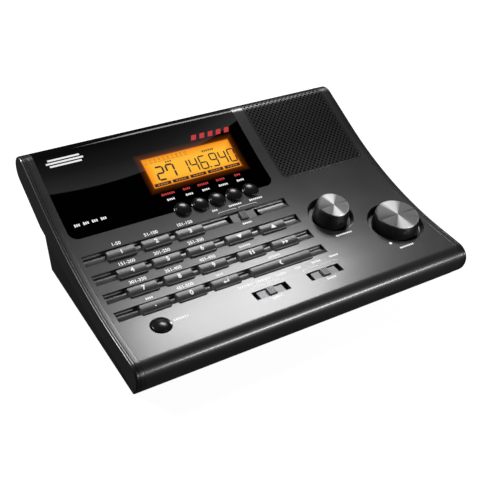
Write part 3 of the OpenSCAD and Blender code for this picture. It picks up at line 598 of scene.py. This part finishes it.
# %% The housing itself
housing = prism("top_panel", nose(0) + bend(0) + back_edge(0)
                + (nose(WALL) + bend(WALL) + back_edge(WALL))[::-1], -PANEL_HALF, PANEL_HALF)
for x, y, _, _, r in KNOBS.values():
    cup = turned("cup", [(0, -5.9 * MM), (r + 1 * MM, -5.9 * MM), (r + 1 * MM, -1 * MM), (0, -1 * MM)], 96)
    cut(housing, place(cup, on_panel(x, y)), "UNION")
for y in ROW_Y:
    cut(housing, trough(y))
for x, y, w in KEYS.values():
    hole = block("hole", w + 2 * GAP, KEY_D + 2 * GAP, -8 * MM, 4 * MM, 0.9 * MM)
    cut(housing, place(hole, on_panel(x, y, KEY_TILT)))
for x, y in SLOTS.values():
    cut(housing, place(block("slot", SLOT_W, SLOT_D, -8 * MM, 3 * MM, 0.4 * MM), on_panel(x, y)))
for x in FUNCTION_X:
    r = FUNCTION_R + 0.3 * MM
    cut(housing, place(turned("hole", [(0, -8 * MM), (r, -8 * MM), (r, 4 * MM), (0, 4 * MM)]),
                       on_panel(x, FUNCTION_Y)))
r = POWER_R + 0.3 * MM
dish = [(0, -8 * MM), (r, -8 * MM), (r, -0.95 * MM), (r + 0.35 * MM, -0.6 * MM), (r + 1.1 * MM, 0.05 * MM),
        (r + 1.1 * MM, 2 * MM), (0, 2 * MM)]
cut(housing, place(turned("dish", dish, 96), on_panel(*POWER_AT)))
for x, y, _, _, r in KNOBS.values():
    cut(housing, well(x, y, r))
WINDOW_X = (WINDOW[0].x, WINDOW[1].x)
GRILLE_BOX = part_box("speaker_grille")
GRILLE_X, GRILLE_FRONT = (GRILLE_BOX[0].x, GRILLE_BOX[1].x), 17.4 * MM
cut(housing, sheet_piece("recess", WINDOW_X, WINDOW_FRONT, 5.5 * MM, -2 * MM, 2.05 * MM, -20, 0.12 * MM))
cut(housing, sheet_piece("recess", GRILLE_X, GRILLE_FRONT, 4.5 * MM, -2 * MM, 1.1 * MM, 30, 0.12 * MM))
round_edges(housing, 0.18 * MM, 2, 32)
smooth(housing)
housing.data.materials.append(PANEL)
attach(housing, "case")
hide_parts("top_housing")
print("housing faces:", len(housing.data.polygons))

# %% [markdown]
# ## Side cheeks and base
# Each side is closed by a separate cheek. It has a narrow inner strip, a fine groove, and a
# rounded outer bead that shines along its whole length. Drawing the outline three times and
# pushing each out a little makes all three, and only the outer bead gets the large round.

# %% A cheek for each side
def dress(ob, finish, body, slot, *nodes):
    """Gives a piece its finish, its body and the nodes that it stands for."""
    ob.data.materials.clear()
    ob.data.materials.append(finish)
    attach(ob, body)
    if nodes:
        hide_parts(*nodes)
    return ob


def cheek(side, name, node_name):
    x0 = PANEL_HALF + 0.05 * MM
    strip_end = x0 + 2.9 * MM
    strip = prism("strip", cheek_outline(), side * x0, side * strip_end)
    round_edges(strip, 0.22 * MM, 2, 40)
    groove = prism("groove", cheek_outline(0.45 * MM), side * (strip_end - 0.4 * MM),
                   side * (strip_end + 0.6 * MM))
    bead = prism("bead", cheek_outline(), side * (strip_end + 0.2 * MM), side * CHEEK_OUT)
    edit(bead)
    bpy.ops.mesh.select_all(action="DESELECT")
    bpy.ops.object.mode_set(mode="OBJECT")
    for e in bead.data.edges:
        e.select = all(abs(abs(bead.data.vertices[v].co.x) - CHEEK_OUT) < 0.01 * MM for v in e.vertices)
    bpy.ops.object.mode_set(mode="EDIT")
    bpy.ops.mesh.select_mode(type="EDGE")
    bpy.ops.mesh.bevel(offset=1.15 * MM, segments=5, affect="EDGES")
    round_edges(bead, 0.15 * MM, 2, 50)
    whole = joined(name, [strip, groove, bead])
    smooth(whole, 40)
    return dress(whole, CHEEK, "case", "cheek_plastic", node_name)


cheek(-1, "left_cheek", "left_side_cheek")
cheek(1, "right_cheek", "right_side_cheek")


# %% Base, back panel, door and the other plain mouldings
def eased(node_name, name, finish, width, segments=2, angle=30, slot=None):
    """A CAD node's own shape with its edges rounded, as a new piece."""
    source = frame["nodes"][node_name]
    piece = source.copy()
    piece.data = source.data.copy()
    bpy.context.collection.objects.link(piece)
    piece.parent = None
    piece.name = name
    edit(piece)
    bpy.ops.mesh.remove_doubles(threshold=0.001 * MM)
    bpy.ops.mesh.dissolve_limited(angle_limit=math.radians(0.5))
    round_edges(piece, width, segments, angle)
    smooth(piece)
    body = body_of(source)[0]
    slots = {part["node"]: part["material_slot"] for part in frame["record"]["subparts"]}
    return dress(piece, finish, body, slot or slots[node_name], node_name)


eased("base_cover", "base_tray", BASE, 0.35 * MM)
eased("rear_panel", "back_plate", PARTS, 0.15 * MM)
eased("battery_door", "battery_hatch", BASE, 0.15 * MM)
eased("rubber_feet", "foot_pads", RUBBER, 0.25 * MM)
eased("aerial_jack", "aerial_socket", PLATED, 0.12 * MM)
eased("earphone_jack", "earphone_socket", PARTS, 0.15 * MM)
eased("power_jack", "power_socket", PARTS, 0.15 * MM)
# near-black finish for the painted shadow lines beside each slider nib
PAINTED_SHADOW_LINE = grained("painted_shadow_line", (0.004, 0.004, 0.004), 0.6, grain=0.8, depth=0.002)
for name, (x, y) in SLOTS.items():
    eased(name, name.replace("slider", "switch_plate"), SLIDER, 0.14 * MM)
    # the shadow line where the nib meets the plate, drawn as a thin dark strip on each side
    strips = [block("strip", 0.6 * MM, 5.7 * MM, -0.71 * MM, -0.67 * MM) for _ in range(2)]
    for side, strip in zip((-1, 1), strips):
        place(strip, on_panel(x, y) @ Matrix.Translation((side * 2.6 * MM, 0, 0)))
    dress(joined(name.replace("slider", "nib_shadow_lines"), strips), PAINTED_SHADOW_LINE, name, "slider_plastic")

# %% [markdown]
# ## Window and lit display
# The window is the same sheet as the recess, only without the gap. The display sits in a real
# opening in it, with its amber pane almost flush, so it is lit from inside and stays sharp.

# %% Window
window = sheet_piece("window_sheet", WINDOW_X, WINDOW_FRONT, 5.5 * MM, 0.0, 2 * MM, -20, 0.0)
for x in FUNCTION_X:
    r = FUNCTION_R + 0.3 * MM
    cut(window, place(turned("hole", [(0, -8 * MM), (r, -8 * MM), (r, 4 * MM), (0, 4 * MM)]),
                      on_panel(x, FUNCTION_Y)))
opening = block("opening", DISPLAY_W, DISPLAY_D, -8 * MM, 4 * MM, 0.5 * MM)
cut(window, place(opening, on_panel(*DISPLAY_AT)))
round_edges(window, 0.12 * MM, 2, 35)
smooth(window)
dress(window, WINDOW_GLOSS_PAINTED_LIGHT, "case", "window_acrylic", "display_window")

# %% Amber pane
pane = block("display_pane", DISPLAY_W - 0.04 * MM, DISPLAY_D - 0.04 * MM, -0.7 * MM, -0.06 * MM, 0.5 * MM)
round_edges(pane, 0.05 * MM, 1)
dress(place(pane, on_panel(*DISPLAY_AT)), AMBER, "case", "display_amber")


# %% Seven-stroke digits
def stroke(length, width, place_at, turn):
    """One stroke of a digit, with pointed ends."""
    a, b = length / 2, width / 2
    ob = plate("stroke", [(-a, 0), (-a + b, -b), (a - b, -b), (a, 0), (a - b, b), (-a + b, b)], 0, 0.03 * MM)
    return place(ob, Matrix.Translation((*place_at, 0)) @ Matrix.Rotation(turn, 4, "Z"))


STROKES = {"0": "abcdef", "1": "bc", "2": "abged", "4": "fgbc", "6": "afgedc", "7": "fabc", "9": "abcdfg"}


def digit(char, x, y, w, h, thick):
    """The strokes that are lit, a to g, clockwise from the top with g in the middle."""
    up, half = math.pi / 2, h / 2
    spots = {"a": ((0, half), 0, w), "g": ((0, 0), 0, w), "d": ((0, -half), 0, w),
             "b": ((w / 2, half / 2), up, half), "c": ((w / 2, -half / 2), up, half),
             "e": ((-w / 2, -half / 2), up, half), "f": ((-w / 2, half / 2), up, half)}
    lean = Matrix.Identity(4)
    lean[0][1] = 0.07
    made = []
    for key in STROKES[char]:
        (sx, sy), turn, length = spots[key]
        made.append(place(stroke(length - 0.1 * thick, thick, (sx, sy), turn),
                          Matrix.Translation((x, y, 0)) @ lean))
    return made


def bar(x, y, w, d, high=0.03 * MM):
    """A small flat mark, centred at x, y."""
    return place(plate("bar", [(-w / 2, -d / 2), (w / 2, -d / 2), (w / 2, d / 2), (-w / 2, d / 2)], 0,
                       high), Matrix.Translation((x, y, 0)))


marks = []
for i, char in enumerate("27"):
    marks += digit(char, (-23.3 + 7.4 * i) * MM, -1.4 * MM, 4.9 * MM, 9.6 * MM, 1.25 * MM)
for i, char in enumerate("146940"):
    marks += digit(char, (-6.0 + 6.75 * i + (1.2 if i > 2 else 0)) * MM, -1.4 * MM, 4.5 * MM, 9.6 * MM,
                   0.95 * MM)
marks.append(bar(11.1 * MM, -6.0 * MM, 1.0 * MM, 1.0 * MM))
for i in range(5):  # soft-key blocks along the lower edge
    marks.append(bar((-25.2 + 12.6 * i) * MM, -9.2 * MM, 11.4 * MM, 2.3 * MM))
for i in range(6):  # small figures that aren't part of a number
    marks.append(bar((10.5 + 1.5 * i) * MM, 6.6 * MM, 0.9 * MM, 1.3 * MM))
marks += [bar((-16.5 + 1.6 * i) * MM, 5.6 * MM, 1.0 * MM, 1.0 * MM) for i in range(3)]
digits = joined("display_digits", marks)
dress(place(digits, on_panel(*DISPLAY_AT) @ Matrix.Translation((0, 0, -0.058 * MM))), BLACK, "case",
      "display_amber")

# %% Fine scale and lettering-free labels inside the display
def words(name, text, size, x, y, high=0.03 * MM, bold=0.0):
    """Numbers as a thin flat mesh, centred at x, y."""
    put_down()
    bpy.ops.object.text_add()
    ob = bpy.context.object
    ob.data.body = text
    ob.data.size = size
    ob.data.align_x, ob.data.align_y = "CENTER", "CENTER"
    ob.data.extrude = high / 2
    ob.data.offset = bold
    ob.data.resolution_u = 3
    bpy.ops.object.convert(target="MESH")
    ob.name = name
    return place(ob, Matrix.Translation((x, y, high / 2)))


FADED = grained("faded_print", (0.28, 0.10, 0.012), 0.45, grain=0.8, depth=0.002)
scale = [words("scale", str(i + 1), 2.3 * MM, (-29.2 + 3.1 * i) * MM, 8.9 * MM) for i in range(10)]
scale += [bar((-29.2 + 3.1 * i) * MM, 7.3 * MM, 2.2 * MM, 0.25 * MM) for i in range(10)]
dress(place(joined("display_scale", scale),
            on_panel(*DISPLAY_AT) @ Matrix.Translation((0, 0, -0.058 * MM))), FADED, "case", "display_amber")
lines = []
for i in range(5):
    for j in range(4):
        lines.append(bar((-25.2 + 12.6 * i + (j - 1.5) * 1.9) * MM, -9.2 * MM, 1.3 * MM, 0.9 * MM, 0.05 * MM))
DIM = grained("dim_amber", (0.45, 0.14, 0.006), 0.45, grain=0.8, depth=0.002,
              Emission_Color=(0.30, 0.08, 0.002, 1), Emission_Strength=1.0)
dress(place(joined("display_labels", lines),
            on_panel(*DISPLAY_AT) @ Matrix.Translation((0, 0, -0.055 * MM))), DIM, "case", "display_amber")

# %% [markdown]
# ## Speaker grille
# The grille is thin sheet with round holes in staggered rows. A flat grid turned by 45 degrees
# has its cells in just that order: insetting every cell and deleting the middles leaves the web,
# and one level of subdivision rounds the holes. The flat sheet is then laid on the curved skin.

# %% Laying a flat sheet on the skin
ARC_END = BEND_R * math.radians(REAR_SLOPE)
SLOPE_LEN = (END_TOUCH_Y - BEND_END_Y) / math.cos(math.radians(REAR_SLOPE))


def skin_point(s, h):
    """The point at distance s along the skin from the start of the bend, h above it."""
    if s < ARC_END:
        a = s / BEND_R
        return BEND_C[0] + (BEND_R - h) * math.sin(a), BEND_C[1] - (BEND_R - h) * math.cos(a)
    slope = math.radians(REAR_SLOPE)
    if s < ARC_END + SLOPE_LEN:
        t = s - ARC_END
        y = BEND_END_Y + t * math.cos(slope) - h * math.sin(slope)
        return y, BEND_END_Z + t * math.sin(slope) + h * math.cos(slope)
    a = math.pi / 2 + slope - (s - ARC_END - SLOPE_LEN) / END_R
    return END_C[0] + (END_R + h) * math.cos(a), END_C[1] + (END_R + h) * math.sin(a)


def along_skin(y):
    """Distance along the skin from the start of the bend to y."""
    return BEND_R * panel_slope(y) if y < BEND_END_Y else ARC_END + (y
            - BEND_END_Y) / math.cos(math.radians(REAR_SLOPE))


def lay_on_skin(ob):
    """Moves each point of a flat sheet in the XY plane to the same place on the skin."""
    put_down()
    for v in ob.data.vertices:
        y, z = skin_point(v.co.y, v.co.z)
        v.co = (v.co.x, y, z)
    ob.data.update()
    return ob


# %% Perforated sheet
HOLE_PITCH = 2.4 * MM
s0 = along_skin(GRILLE_FRONT)
s1 = ARC_END + SLOPE_LEN + END_R * math.radians(90 + REAR_SLOPE - 32)
gx, gs = sum(GRILLE_X) / 2, (s0 + s1) / 2
gw, gd = GRILLE_X[1] - GRILLE_X[0], s1 - s0
put_down()
cells = 44
bpy.ops.mesh.primitive_grid_add(x_subdivisions=cells, y_subdivisions=cells, size=cells * HOLE_PITCH)
web = bpy.context.object
edit(web)
bpy.ops.mesh.select_mode(type="FACE")
bpy.ops.transform.rotate(value=math.radians(45), orient_axis="Z", center_override=(0, 0, 0))
margin = 0.6 * MM
for co, no in (((gw / 2 - margin, 0, 0), (1, 0, 0)), ((margin - gw / 2, 0, 0), (-1, 0, 0)),
               ((0, gd / 2 - margin, 0), (0, 1, 0)), ((0, margin - gd / 2, 0), (0, -1, 0))):
    bpy.ops.mesh.select_all(action="SELECT")
    bpy.ops.mesh.bisect(plane_co=co, plane_no=no, clear_outer=True)
bpy.ops.mesh.select_all(action="SELECT")
bpy.ops.mesh.inset(thickness=0.36 * MM, depth=0, use_individual=True)
bpy.ops.mesh.delete(type="FACE")
put_down()
apply(web, "SUBSURF", levels=1, render_levels=1)
apply(web, "SOLIDIFY", thickness=0.6 * MM, offset=-1)
web.name = "grille_web"
place(web, Matrix.Translation((gx, gs, 0)))
lay_on_skin(web)
smooth(web, 45)


# %% Rolled edge of the grille and the cloth behind it
def rounded(w, d, r, steps=8):
    """Plan of a rectangle with two round front corners."""
    return arc((w / 2 - r, -d / 2 + r), r, 270, 360, steps) + [(w / 2, d / 2),
            (-w / 2, d / 2)] + arc((-w / 2 + r, -d / 2 + r), r, 180, 270, steps)


rim = plate("rim", rounded(gw - 0.1 * MM, gd, 4.5 * MM), -0.7 * MM, 0.12 * MM)
cut(rim, plate("inner", rounded(gw - 1.7 * MM, gd - 1.6 * MM, 3.7 * MM), -2 * MM, 2 * MM))
edit(rim)
for i in range(1, 40):
    bpy.ops.mesh.select_all(action="SELECT")
    bpy.ops.mesh.bisect(plane_co=(0, -gd / 2 + gd * i / 40, 0), plane_no=(0, 1, 0))
put_down()
round_edges(rim, 0.25 * MM, 3, 35)
place(rim, Matrix.Translation((gx, gs, 0)))
lay_on_skin(rim)
smooth(rim, 40)
dress(joined("speaker_grille_sheet", [web, rim]), GRILLE, "case", "grille_metal", "speaker_grille")
cloth = plate("speaker_cloth", rounded(gw - 0.3 * MM, gd - 0.4 * MM, 4.3 * MM), -1.05 * MM, -0.85 * MM)
edit(cloth)
for i in range(1, 40):
    bpy.ops.mesh.select_all(action="SELECT")
    bpy.ops.mesh.bisect(plane_co=(0, -gd / 2 + gd * i / 40, 0), plane_no=(0, 1, 0))
put_down()
place(cloth, Matrix.Translation((gx, gs, 0)))
dress(lay_on_skin(cloth), CLOTH, "case", "grille_metal")
print("grille faces:", len(web.data.polygons))

# %% Front lip of the grille, a bright strip for a painted highlight
# a thin strip of bright steel along the front edge: a painted highlight on the rolled lip
lip = block("grille_lip_highlight", gw - 9 * MM, 0.4 * MM, -0.1 * MM, 0.1 * MM, 0.15 * MM)
dress(place(lip, on_panel(gx, GRILLE_FRONT + 0.25 * MM)), STEEL, "case", "grille_metal")

# %% [markdown]
# ## Keys
# A key is a moulded cap with a crowned top: it rises from the front, crests behind the middle and
# falls a little to the rear, so its rear half looks light and its front half dark. One narrow and
# one wide cap are modelled, and the rest are copies with their own meshes.

# %% Key caps and what is printed on them
KEY_FOOT = -5.2 * MM


def key_top(y):
    """Height of the crown at y on the key's own frame."""
    t = (y - 0.5 * MM) / MM
    return KEY_RISE - (0.062 if t < 0 else 0.034) * t * t * MM


def key_blank(name, w):
    ys = [(-3.2 + 0.4 * i) * MM for i in range(17)]
    outline = [(ys[0], KEY_FOOT)] + [(y, key_top(y)) for y in ys] + [(ys[-1], KEY_FOOT)]
    cap = prism(name, outline, -w / 2, w / 2)
    round_edges(cap, 0.5 * MM, 4, 25)
    smooth(cap, 30)
    return cap


def on_crown(ob):
    """Slices a flat print across and drops it on the crown of a key."""
    edit(ob)
    for i in range(-6, 7):
        bpy.ops.mesh.select_all(action="SELECT")
        bpy.ops.mesh.bisect(plane_co=(0, 0.4 * i * MM, 0), plane_no=(0, 1, 0))
    put_down()
    for v in ob.data.vertices:
        v.co.z += key_top(v.co.y) - 0.008 * MM
    return ob


def wedge(name, points, high=0.03 * MM):
    return plate(name, points, 0, high)


def key_print(name):
    """A figure, or a plain sign where the function isn't a number."""
    if name.startswith("key_") and name[4:].isdigit():
        return words("print", name[4:], 4.3 * MM, 0, 0, bold=0.1 * MM)
    if name == "key_point":
        return bar(0, -0.6 * MM, 0.7 * MM, 0.7 * MM)
    if name in ("key_down", "key_up"):
        s = 1.45 * MM if name == "key_up" else -1.45 * MM
        return wedge("print", [(-1.9 * MM, -s), (1.9 * MM, -s), (0, s)][:: 1 if s > 0 else -1])
    if name == "key_hold":
        return joined("print", [bar(s * 1.0 * MM, 0, 0.9 * MM, 2.6 * MM) for s in (-1, 1)])
    if name == "key_scan":
        pair = []
        for x in (-2.2, 0.1):
            pair.append(wedge("print", [(x * MM, -1.3 * MM), ((x + 1.9) * MM, 0), (x * MM, 1.3 * MM)]))
        return joined("print", pair)
    if name == "key_enter":
        level = bar(0.4 * MM, -0.5 * MM, 2.8 * MM, 0.6 * MM)
        upright = bar(1.5 * MM, 0.3 * MM, 0.6 * MM, 1.6 * MM)
        tip = wedge("print", [(-2.2 * MM, -0.5 * MM), (-0.8 * MM, -1.5 * MM), (-0.8 * MM, 0.5 * MM)])
        return joined("print", [level, upright, tip])
    moon = arc((0, 0), 1.5 * MM, 60, 300, 16) + arc((0.75 * MM, 0), 1.3 * MM, 270, 90, 12)
    return wedge("print", moon)


narrow, wide = key_blank("narrow_key", KEY_W), key_blank("wide_key", BAR_W)
for name, (x, y, w) in KEYS.items():
    cap = copy_of(wide if w > KEY_W else narrow, name.replace("key_", "keycap_"))
    where = on_panel(x, y, KEY_TILT)
    dress(place(cap, where), KEYCAP, name, "key_plastic", name)
    sign = place(on_crown(key_print(name)), where)
    sign.name = name.replace("key_", "keyprint_")
    dress(sign, WHITE, name, "key_plastic")
for blank_key in (narrow, wide):
    take(blank_key)
    bpy.ops.object.delete()
print("keys:", len(KEYS))

# %% [markdown]
# ## Round buttons and knobs
# These are all lathe shapes. Drawing half of the section and spinning it gives a true circle, and
# the outline can hold the small rounds that a bevel would otherwise add.

# %% Function buttons and power button
def dome(name, r, top, foot, crown, edge):
    """A button with a collar edge and a shallow dome; the outline runs from the top down."""
    outline = [(0, top)]
    outline += [(r * 0.78 * i / 8, top - crown * (i / 8) ** 2) for i in range(1, 9)]
    outline += arc((r - edge, top - crown - 0.35 * MM - edge), edge, 70, 0, 6)
    outline += [(r, foot), (0, foot)]
    cap = turned(name, outline, 72)
    smooth(cap, 35)
    return cap


# section of the collar round a button: distance outside the button and height, in millimetres
COLLAR = [(0.28, 0.1), (0.36, 0.55), (0.7, 0.62), (1.0, 0.3), (1.05, -0.1), (0.28, -0.1), (0.28, 0.1)]
for i, x in enumerate(FUNCTION_X):
    cap = dome("button", FUNCTION_R, 2.4 * MM, -5.5 * MM, 0.55 * MM, 0.5 * MM)
    name = "function_button_%d" % (i + 1)
    cap.name = name.replace("function", "round")
    dress(place(cap, on_panel(x, FUNCTION_Y)), BUTTON, name, "button_plastic", name)
    ring = turned("ring", [(FUNCTION_R + out * MM, z * MM) for out, z in COLLAR], 72)
    smooth(ring, 50)
    ring.name = "button_collar_%d" % (i + 1)
    dress(place(ring, on_panel(x, FUNCTION_Y)), BUTTON, "case", "button_plastic")
cap = dome("power_cap", POWER_R, 1.2 * MM, -4 * MM, 0.7 * MM, 0.5 * MM)
dress(place(cap, on_panel(*POWER_AT)), BUTTON, "power_button", "button_plastic", "power_button")

# %% Knobs and their spun caps
INDEX_TURN, INDEX_R = math.radians(225), 10.9 * MM
INDEX_X, INDEX_Y = INDEX_R * math.cos(INDEX_TURN), INDEX_R * math.sin(INDEX_TURN)
for name, (x, y, r, rise, _) in KNOBS.items():
    where, out = on_panel(x, y), r + 0.4 * MM
    body = [(3.1 * MM, rise - 3 * MM), (3.1 * MM, -2.6 * MM), (out + 0.7 * MM, -2.6 * MM),
            (out + 0.9 * MM, -2.3 * MM)]
    body += [(out + 0.28 * MM, rise - 2.4 * MM), (out + 0.05 * MM, rise - 1.1 * MM)]
    body += arc((out - 0.5 * MM, rise - 1.1 * MM), 0.5 * MM, 10, 85, 5)
    body += [(r + 0.02 * MM, rise - 0.6 * MM), (r - 0.4 * MM, rise - 0.64 * MM), (0, rise - 0.64 * MM),
             (0, rise - 3 * MM), (3.1 * MM, rise - 3 * MM)]
    knob = turned(name + "_grip", body, 96)
    smooth(knob, 28)
    dress(place(knob, where), KNOB, name + "_dial", "knob_plastic", name + "_knob")
    face = [(0, rise - 0.07 * MM), (r - 0.9 * MM, rise - 0.07 * MM), (r - 0.7 * MM, rise),
            (r - 0.25 * MM, rise), (r, rise - 0.25 * MM), (r, rise - 0.6 * MM), (0, rise - 0.6 * MM)]
    disc = turned(name + "_disc", face, 96)
    if name == "volume":
        dimple = turned("dimple", [(0, -0.35 * MM), (0.45 * MM, -0.2 * MM), (0.6 * MM, 0.2 * MM),
                                   (0, 0.2 * MM)], 24)
        place(dimple, Matrix.Translation((INDEX_X, INDEX_Y, rise)))
        cut(disc, dimple)
        # a black disc sits in the dimple, so the dimple shows as a small dark dot
        dot = turned("index_dot", [(0, -0.34 * MM), (0.5 * MM, -0.1 * MM), (0.5 * MM, 0.0), (0, 0.0)], 24)
        place(dot, where @ Matrix.Translation((INDEX_X, INDEX_Y, rise - 0.08 * MM)))
        dress(dot, BLACK, "volume_dial", "spun_aluminium")
    smooth(disc, 20)
    place(disc, where)
    dress(disc, spun(name + "_spun", where, 0), name + "_dial", "spun_aluminium", name + "_knob_cap")

# %% [markdown]
# ## Printed marks on the panel
# The channel range of each number key is printed above it. Where the set has words, short rows of
# small blocks stand in for them, so the layout reads the same and no lettering is drawn. Every mark
# is a very thin solid laid on the panel at its own place.

# %% Numbers and blocks on the panel
PRINT_LIFT = 0.004 * MM


def at_place(ob, x, y):
    return place(ob, on_panel(x * MM, y * MM) @ Matrix.Translation((0, 0, PRINT_LIFT)))


def number_mark(text, x, y, size=3.25):
    return at_place(words("mark", text, size * MM, 0, 0, bold=0.06 * MM), x, y)


def word_mark(x0, x1, y, high=1.25):
    """A row of blocks that fills the space of a word."""
    count = max(2, round((x1 - x0) / 1.35))
    step = (x1 - x0) / count
    blocks = [bar((-(count - 1) / 2 + i) * step * MM, 0, 0.68 * step * MM, high * (1 if i else 1.2) * MM)
              for i in range(count)]
    return at_place(joined("mark", blocks), (x0 + x1) / 2, y)


def line_mark(x0, x1, y, drop=0.9):
    """A bracket: a thin line with a short tick at each end."""
    wide = (x1 - x0) / 2
    parts = [bar(0, 0, 2 * wide * MM, 0.2 * MM)]
    parts += [bar(t * wide * MM, -drop / 2 * MM, 0.2 * MM, drop * MM) for t in (-1, 1)]
    return at_place(joined("mark", parts), (x0 + x1) / 2, y)


white, red = [], []
RANGES = ["1-50", "51-100", "101-150", "151-200", "201-250", "251-300", "301-350", "351-400", "401-450", "",
          "451-500", ""]
for i, text in enumerate(RANGES):
    x, y = COLUMN_X[i % 3] / MM, ROW_Y[i // 3] / MM + 7.4
    white.append(number_mark(text, x, y) if text else word_mark(x - 2.4, x + 2.4, y))
for x0, x1, y in ((-16.5, -8.4, -21.9), (-4.4, 4.0, -36.3), (-79.8, -70.4, -58), (45.8, 58.2, -37),
                  (76.1, 87.2, -63.4)):
    white.append(word_mark(x0, x1, y))
# each slide switch: where its three labels start and end in x, then the y of the labels,
# of the brackets under them and of the label in front, all in millimetres
SWITCH_LABELS = [
    (((-17.6, -13.6), (-5.6, 3.8), (9.6, 19.4)), 9.3, 6.8, -6.0),
    (((-34.8, -24.6), (-22.8, -12.9), (-8.8, -1.7)), -51.3, -54.3, -67.2),
    (((5.0, 9.3), (17.0, 23.8), (30.5, 37.0)), -51.0, -54.3, -67.2)]
for spots, high, low, mid in SWITCH_LABELS:
    centres = [(a + b) / 2 for a, b in spots]
    white += [word_mark(a, b, high) for a, b in spots]
    white += [line_mark(centres[i] + 1.2, centres[i + 1] - 1.2, low) for i in range(2)]
    white.append(word_mark(centres[1] - 3.4, centres[1] + 3.4, mid))
spot = turned("dot", [(0, 0), (0.95 * MM, 0), (0.95 * MM, 0.03 * MM), (0, 0.03 * MM)], 32)
white.append(at_place(spot, 73.8, -57))
# each round button: x, and the widths of its red and white labels, in millimetres
BUTTON_LABELS = [(-38, 9.4, 5.4), (-25, 5.2, 5.4), (-13.2, 8.0, 5.4), (-0.4, 6.4, 6.8), (12.3, 4.6, 5.4)]
for x, red_w, white_w in BUTTON_LABELS:
    red.append(word_mark(x - red_w / 2, x + red_w / 2, 29.4, 1.5))
    white.append(word_mark(x - white_w / 2, x + white_w / 2, 25.3, 1.3))
white += [word_mark(-102 + 5.6 * i, -98.2 + 5.6 * i, 25, 1.7) for i in range(4)]
# two plain signs, one white at the rear left corner and one red behind the display
stripes = [bar(0, 2.2 * t * MM, (24 - 3.5 * abs(t)) * MM, 1.25 * MM) for t in (-1, 0, 1)]
white.append(at_place(joined("mark", stripes), -89.8, 66.8))
SLANTED = [(-17, -1.9), (-13.4, -1.9), (-11.6, 1.9), (-15.2, 1.9)]
fan = [wedge("mark", [((x + 6.2 * i) * MM, y * MM) for x, y in SLANTED]) for i in range(5)]
red.append(at_place(joined("mark", fan), 11.5, 61.6))
dress(joined("white_marks", white), WHITE, "case", "panel_plastic")
dress(joined("red_marks", red), RED, "case", "panel_plastic")
print("panel marks:", len(white) + len(red))

# %% [markdown]
# ## Pieces that stay as the engineering model has them
# What sits inside the case is already the right shape. Those pieces keep their mesh and only get a
# proper finish, because light falls on them through the gaps round the keys and the grille.

# %% Finishes for the inner pieces
INNER = {
    BOARD: ("key_board", "switch_boards", "main_board"),
    STEEL: ("speaker_basket", "switch_bodies", "volume_controls", "screws", "squelch_shaft", "volume_shaft"),
    PALE: ("lcd_frame", "backlight_panel"),
    PARTS: ("board_components", "speaker_magnet"),
    RUBBER: ("rubber_keymat",),
    JACKET: ("battery_cells",),
    PLATED: ("battery_contacts",),
    CONE: ("speaker_cone",),
    AMBER: ("lcd_glass",)}
for finish, names in INNER.items():
    for name in names:
        for held in frame["nodes"][name].material_slots:
            held.material = finish
print("inner pieces:", sum(len(names) for names in INNER.values()))

# %% [markdown]
# ## Floor and light
# A plain pale floor, and soft lamps where a studio would hang them: a large one behind and to the
# right that lays a broad sheen on the flat front, and a long narrow one in front for the bright
# line on the round nose. A small lamp behind on the left draws the thin line along the cheek.
# Straight above it stays dark, so the window stays black.

# %% Floor
put_down()
bpy.ops.mesh.primitive_plane_add(size=12)
floor = bpy.context.object
floor.name = "floor"
floor_white, _ = blank("floor_white", (0.3, 0.3, 0.3), 0.9, Emission_Color=(1, 1, 1, 1),
                                  Emission_Strength=0.92)
floor.data.materials.append(floor_white)
# the floor shows and takes shadows, but throws no light back on the set
floor.visible_glossy = False
floor.visible_diffuse = False


# %% Lamps
def lamp(name, target, toward, distance, w, h, power):
    """An area lamp that shines on target from a direction."""
    toward = Vector(toward).normalized()
    at = Vector(target) + toward * distance
    bpy.ops.object.light_add(type="AREA", location=at)
    light = bpy.context.object
    light.name = name
    light.data.shape = "RECTANGLE"
    light.data.size, light.data.size_y = w, h
    light.data.energy = power
    light.rotation_euler = toward.to_track_quat("Z", "Y").to_euler()
    return light


lamp("sheen_lamp", (-0.045, -0.055, 0.025), (0.43, 0.60, 0.67), 1.0, 0.34, 0.24, 3.9)
nose_lamp = lamp("nose_lamp", (0, -0.08, 0.02), (0.50, -0.77, 0.40), 0.95, 0.50, 0.035, 4.6)
nose_lamp.rotation_euler = Vector((0.0, -0.88, 0.47)).to_track_quat("Z", "Y").to_euler()
lamp("edge_lamp", (-0.11, 0, 0.03), (-0.60, 0.68, 0.40), 1.0, 0.16, 0.34, 9.0)
world = bpy.data.worlds.new("studio")
bpy.context.scene.world = world
world.use_nodes = True
world.node_tree.nodes["Background"].inputs[0].default_value = (1, 1, 1, 1)
world.node_tree.nodes["Background"].inputs[1].default_value = 0.02
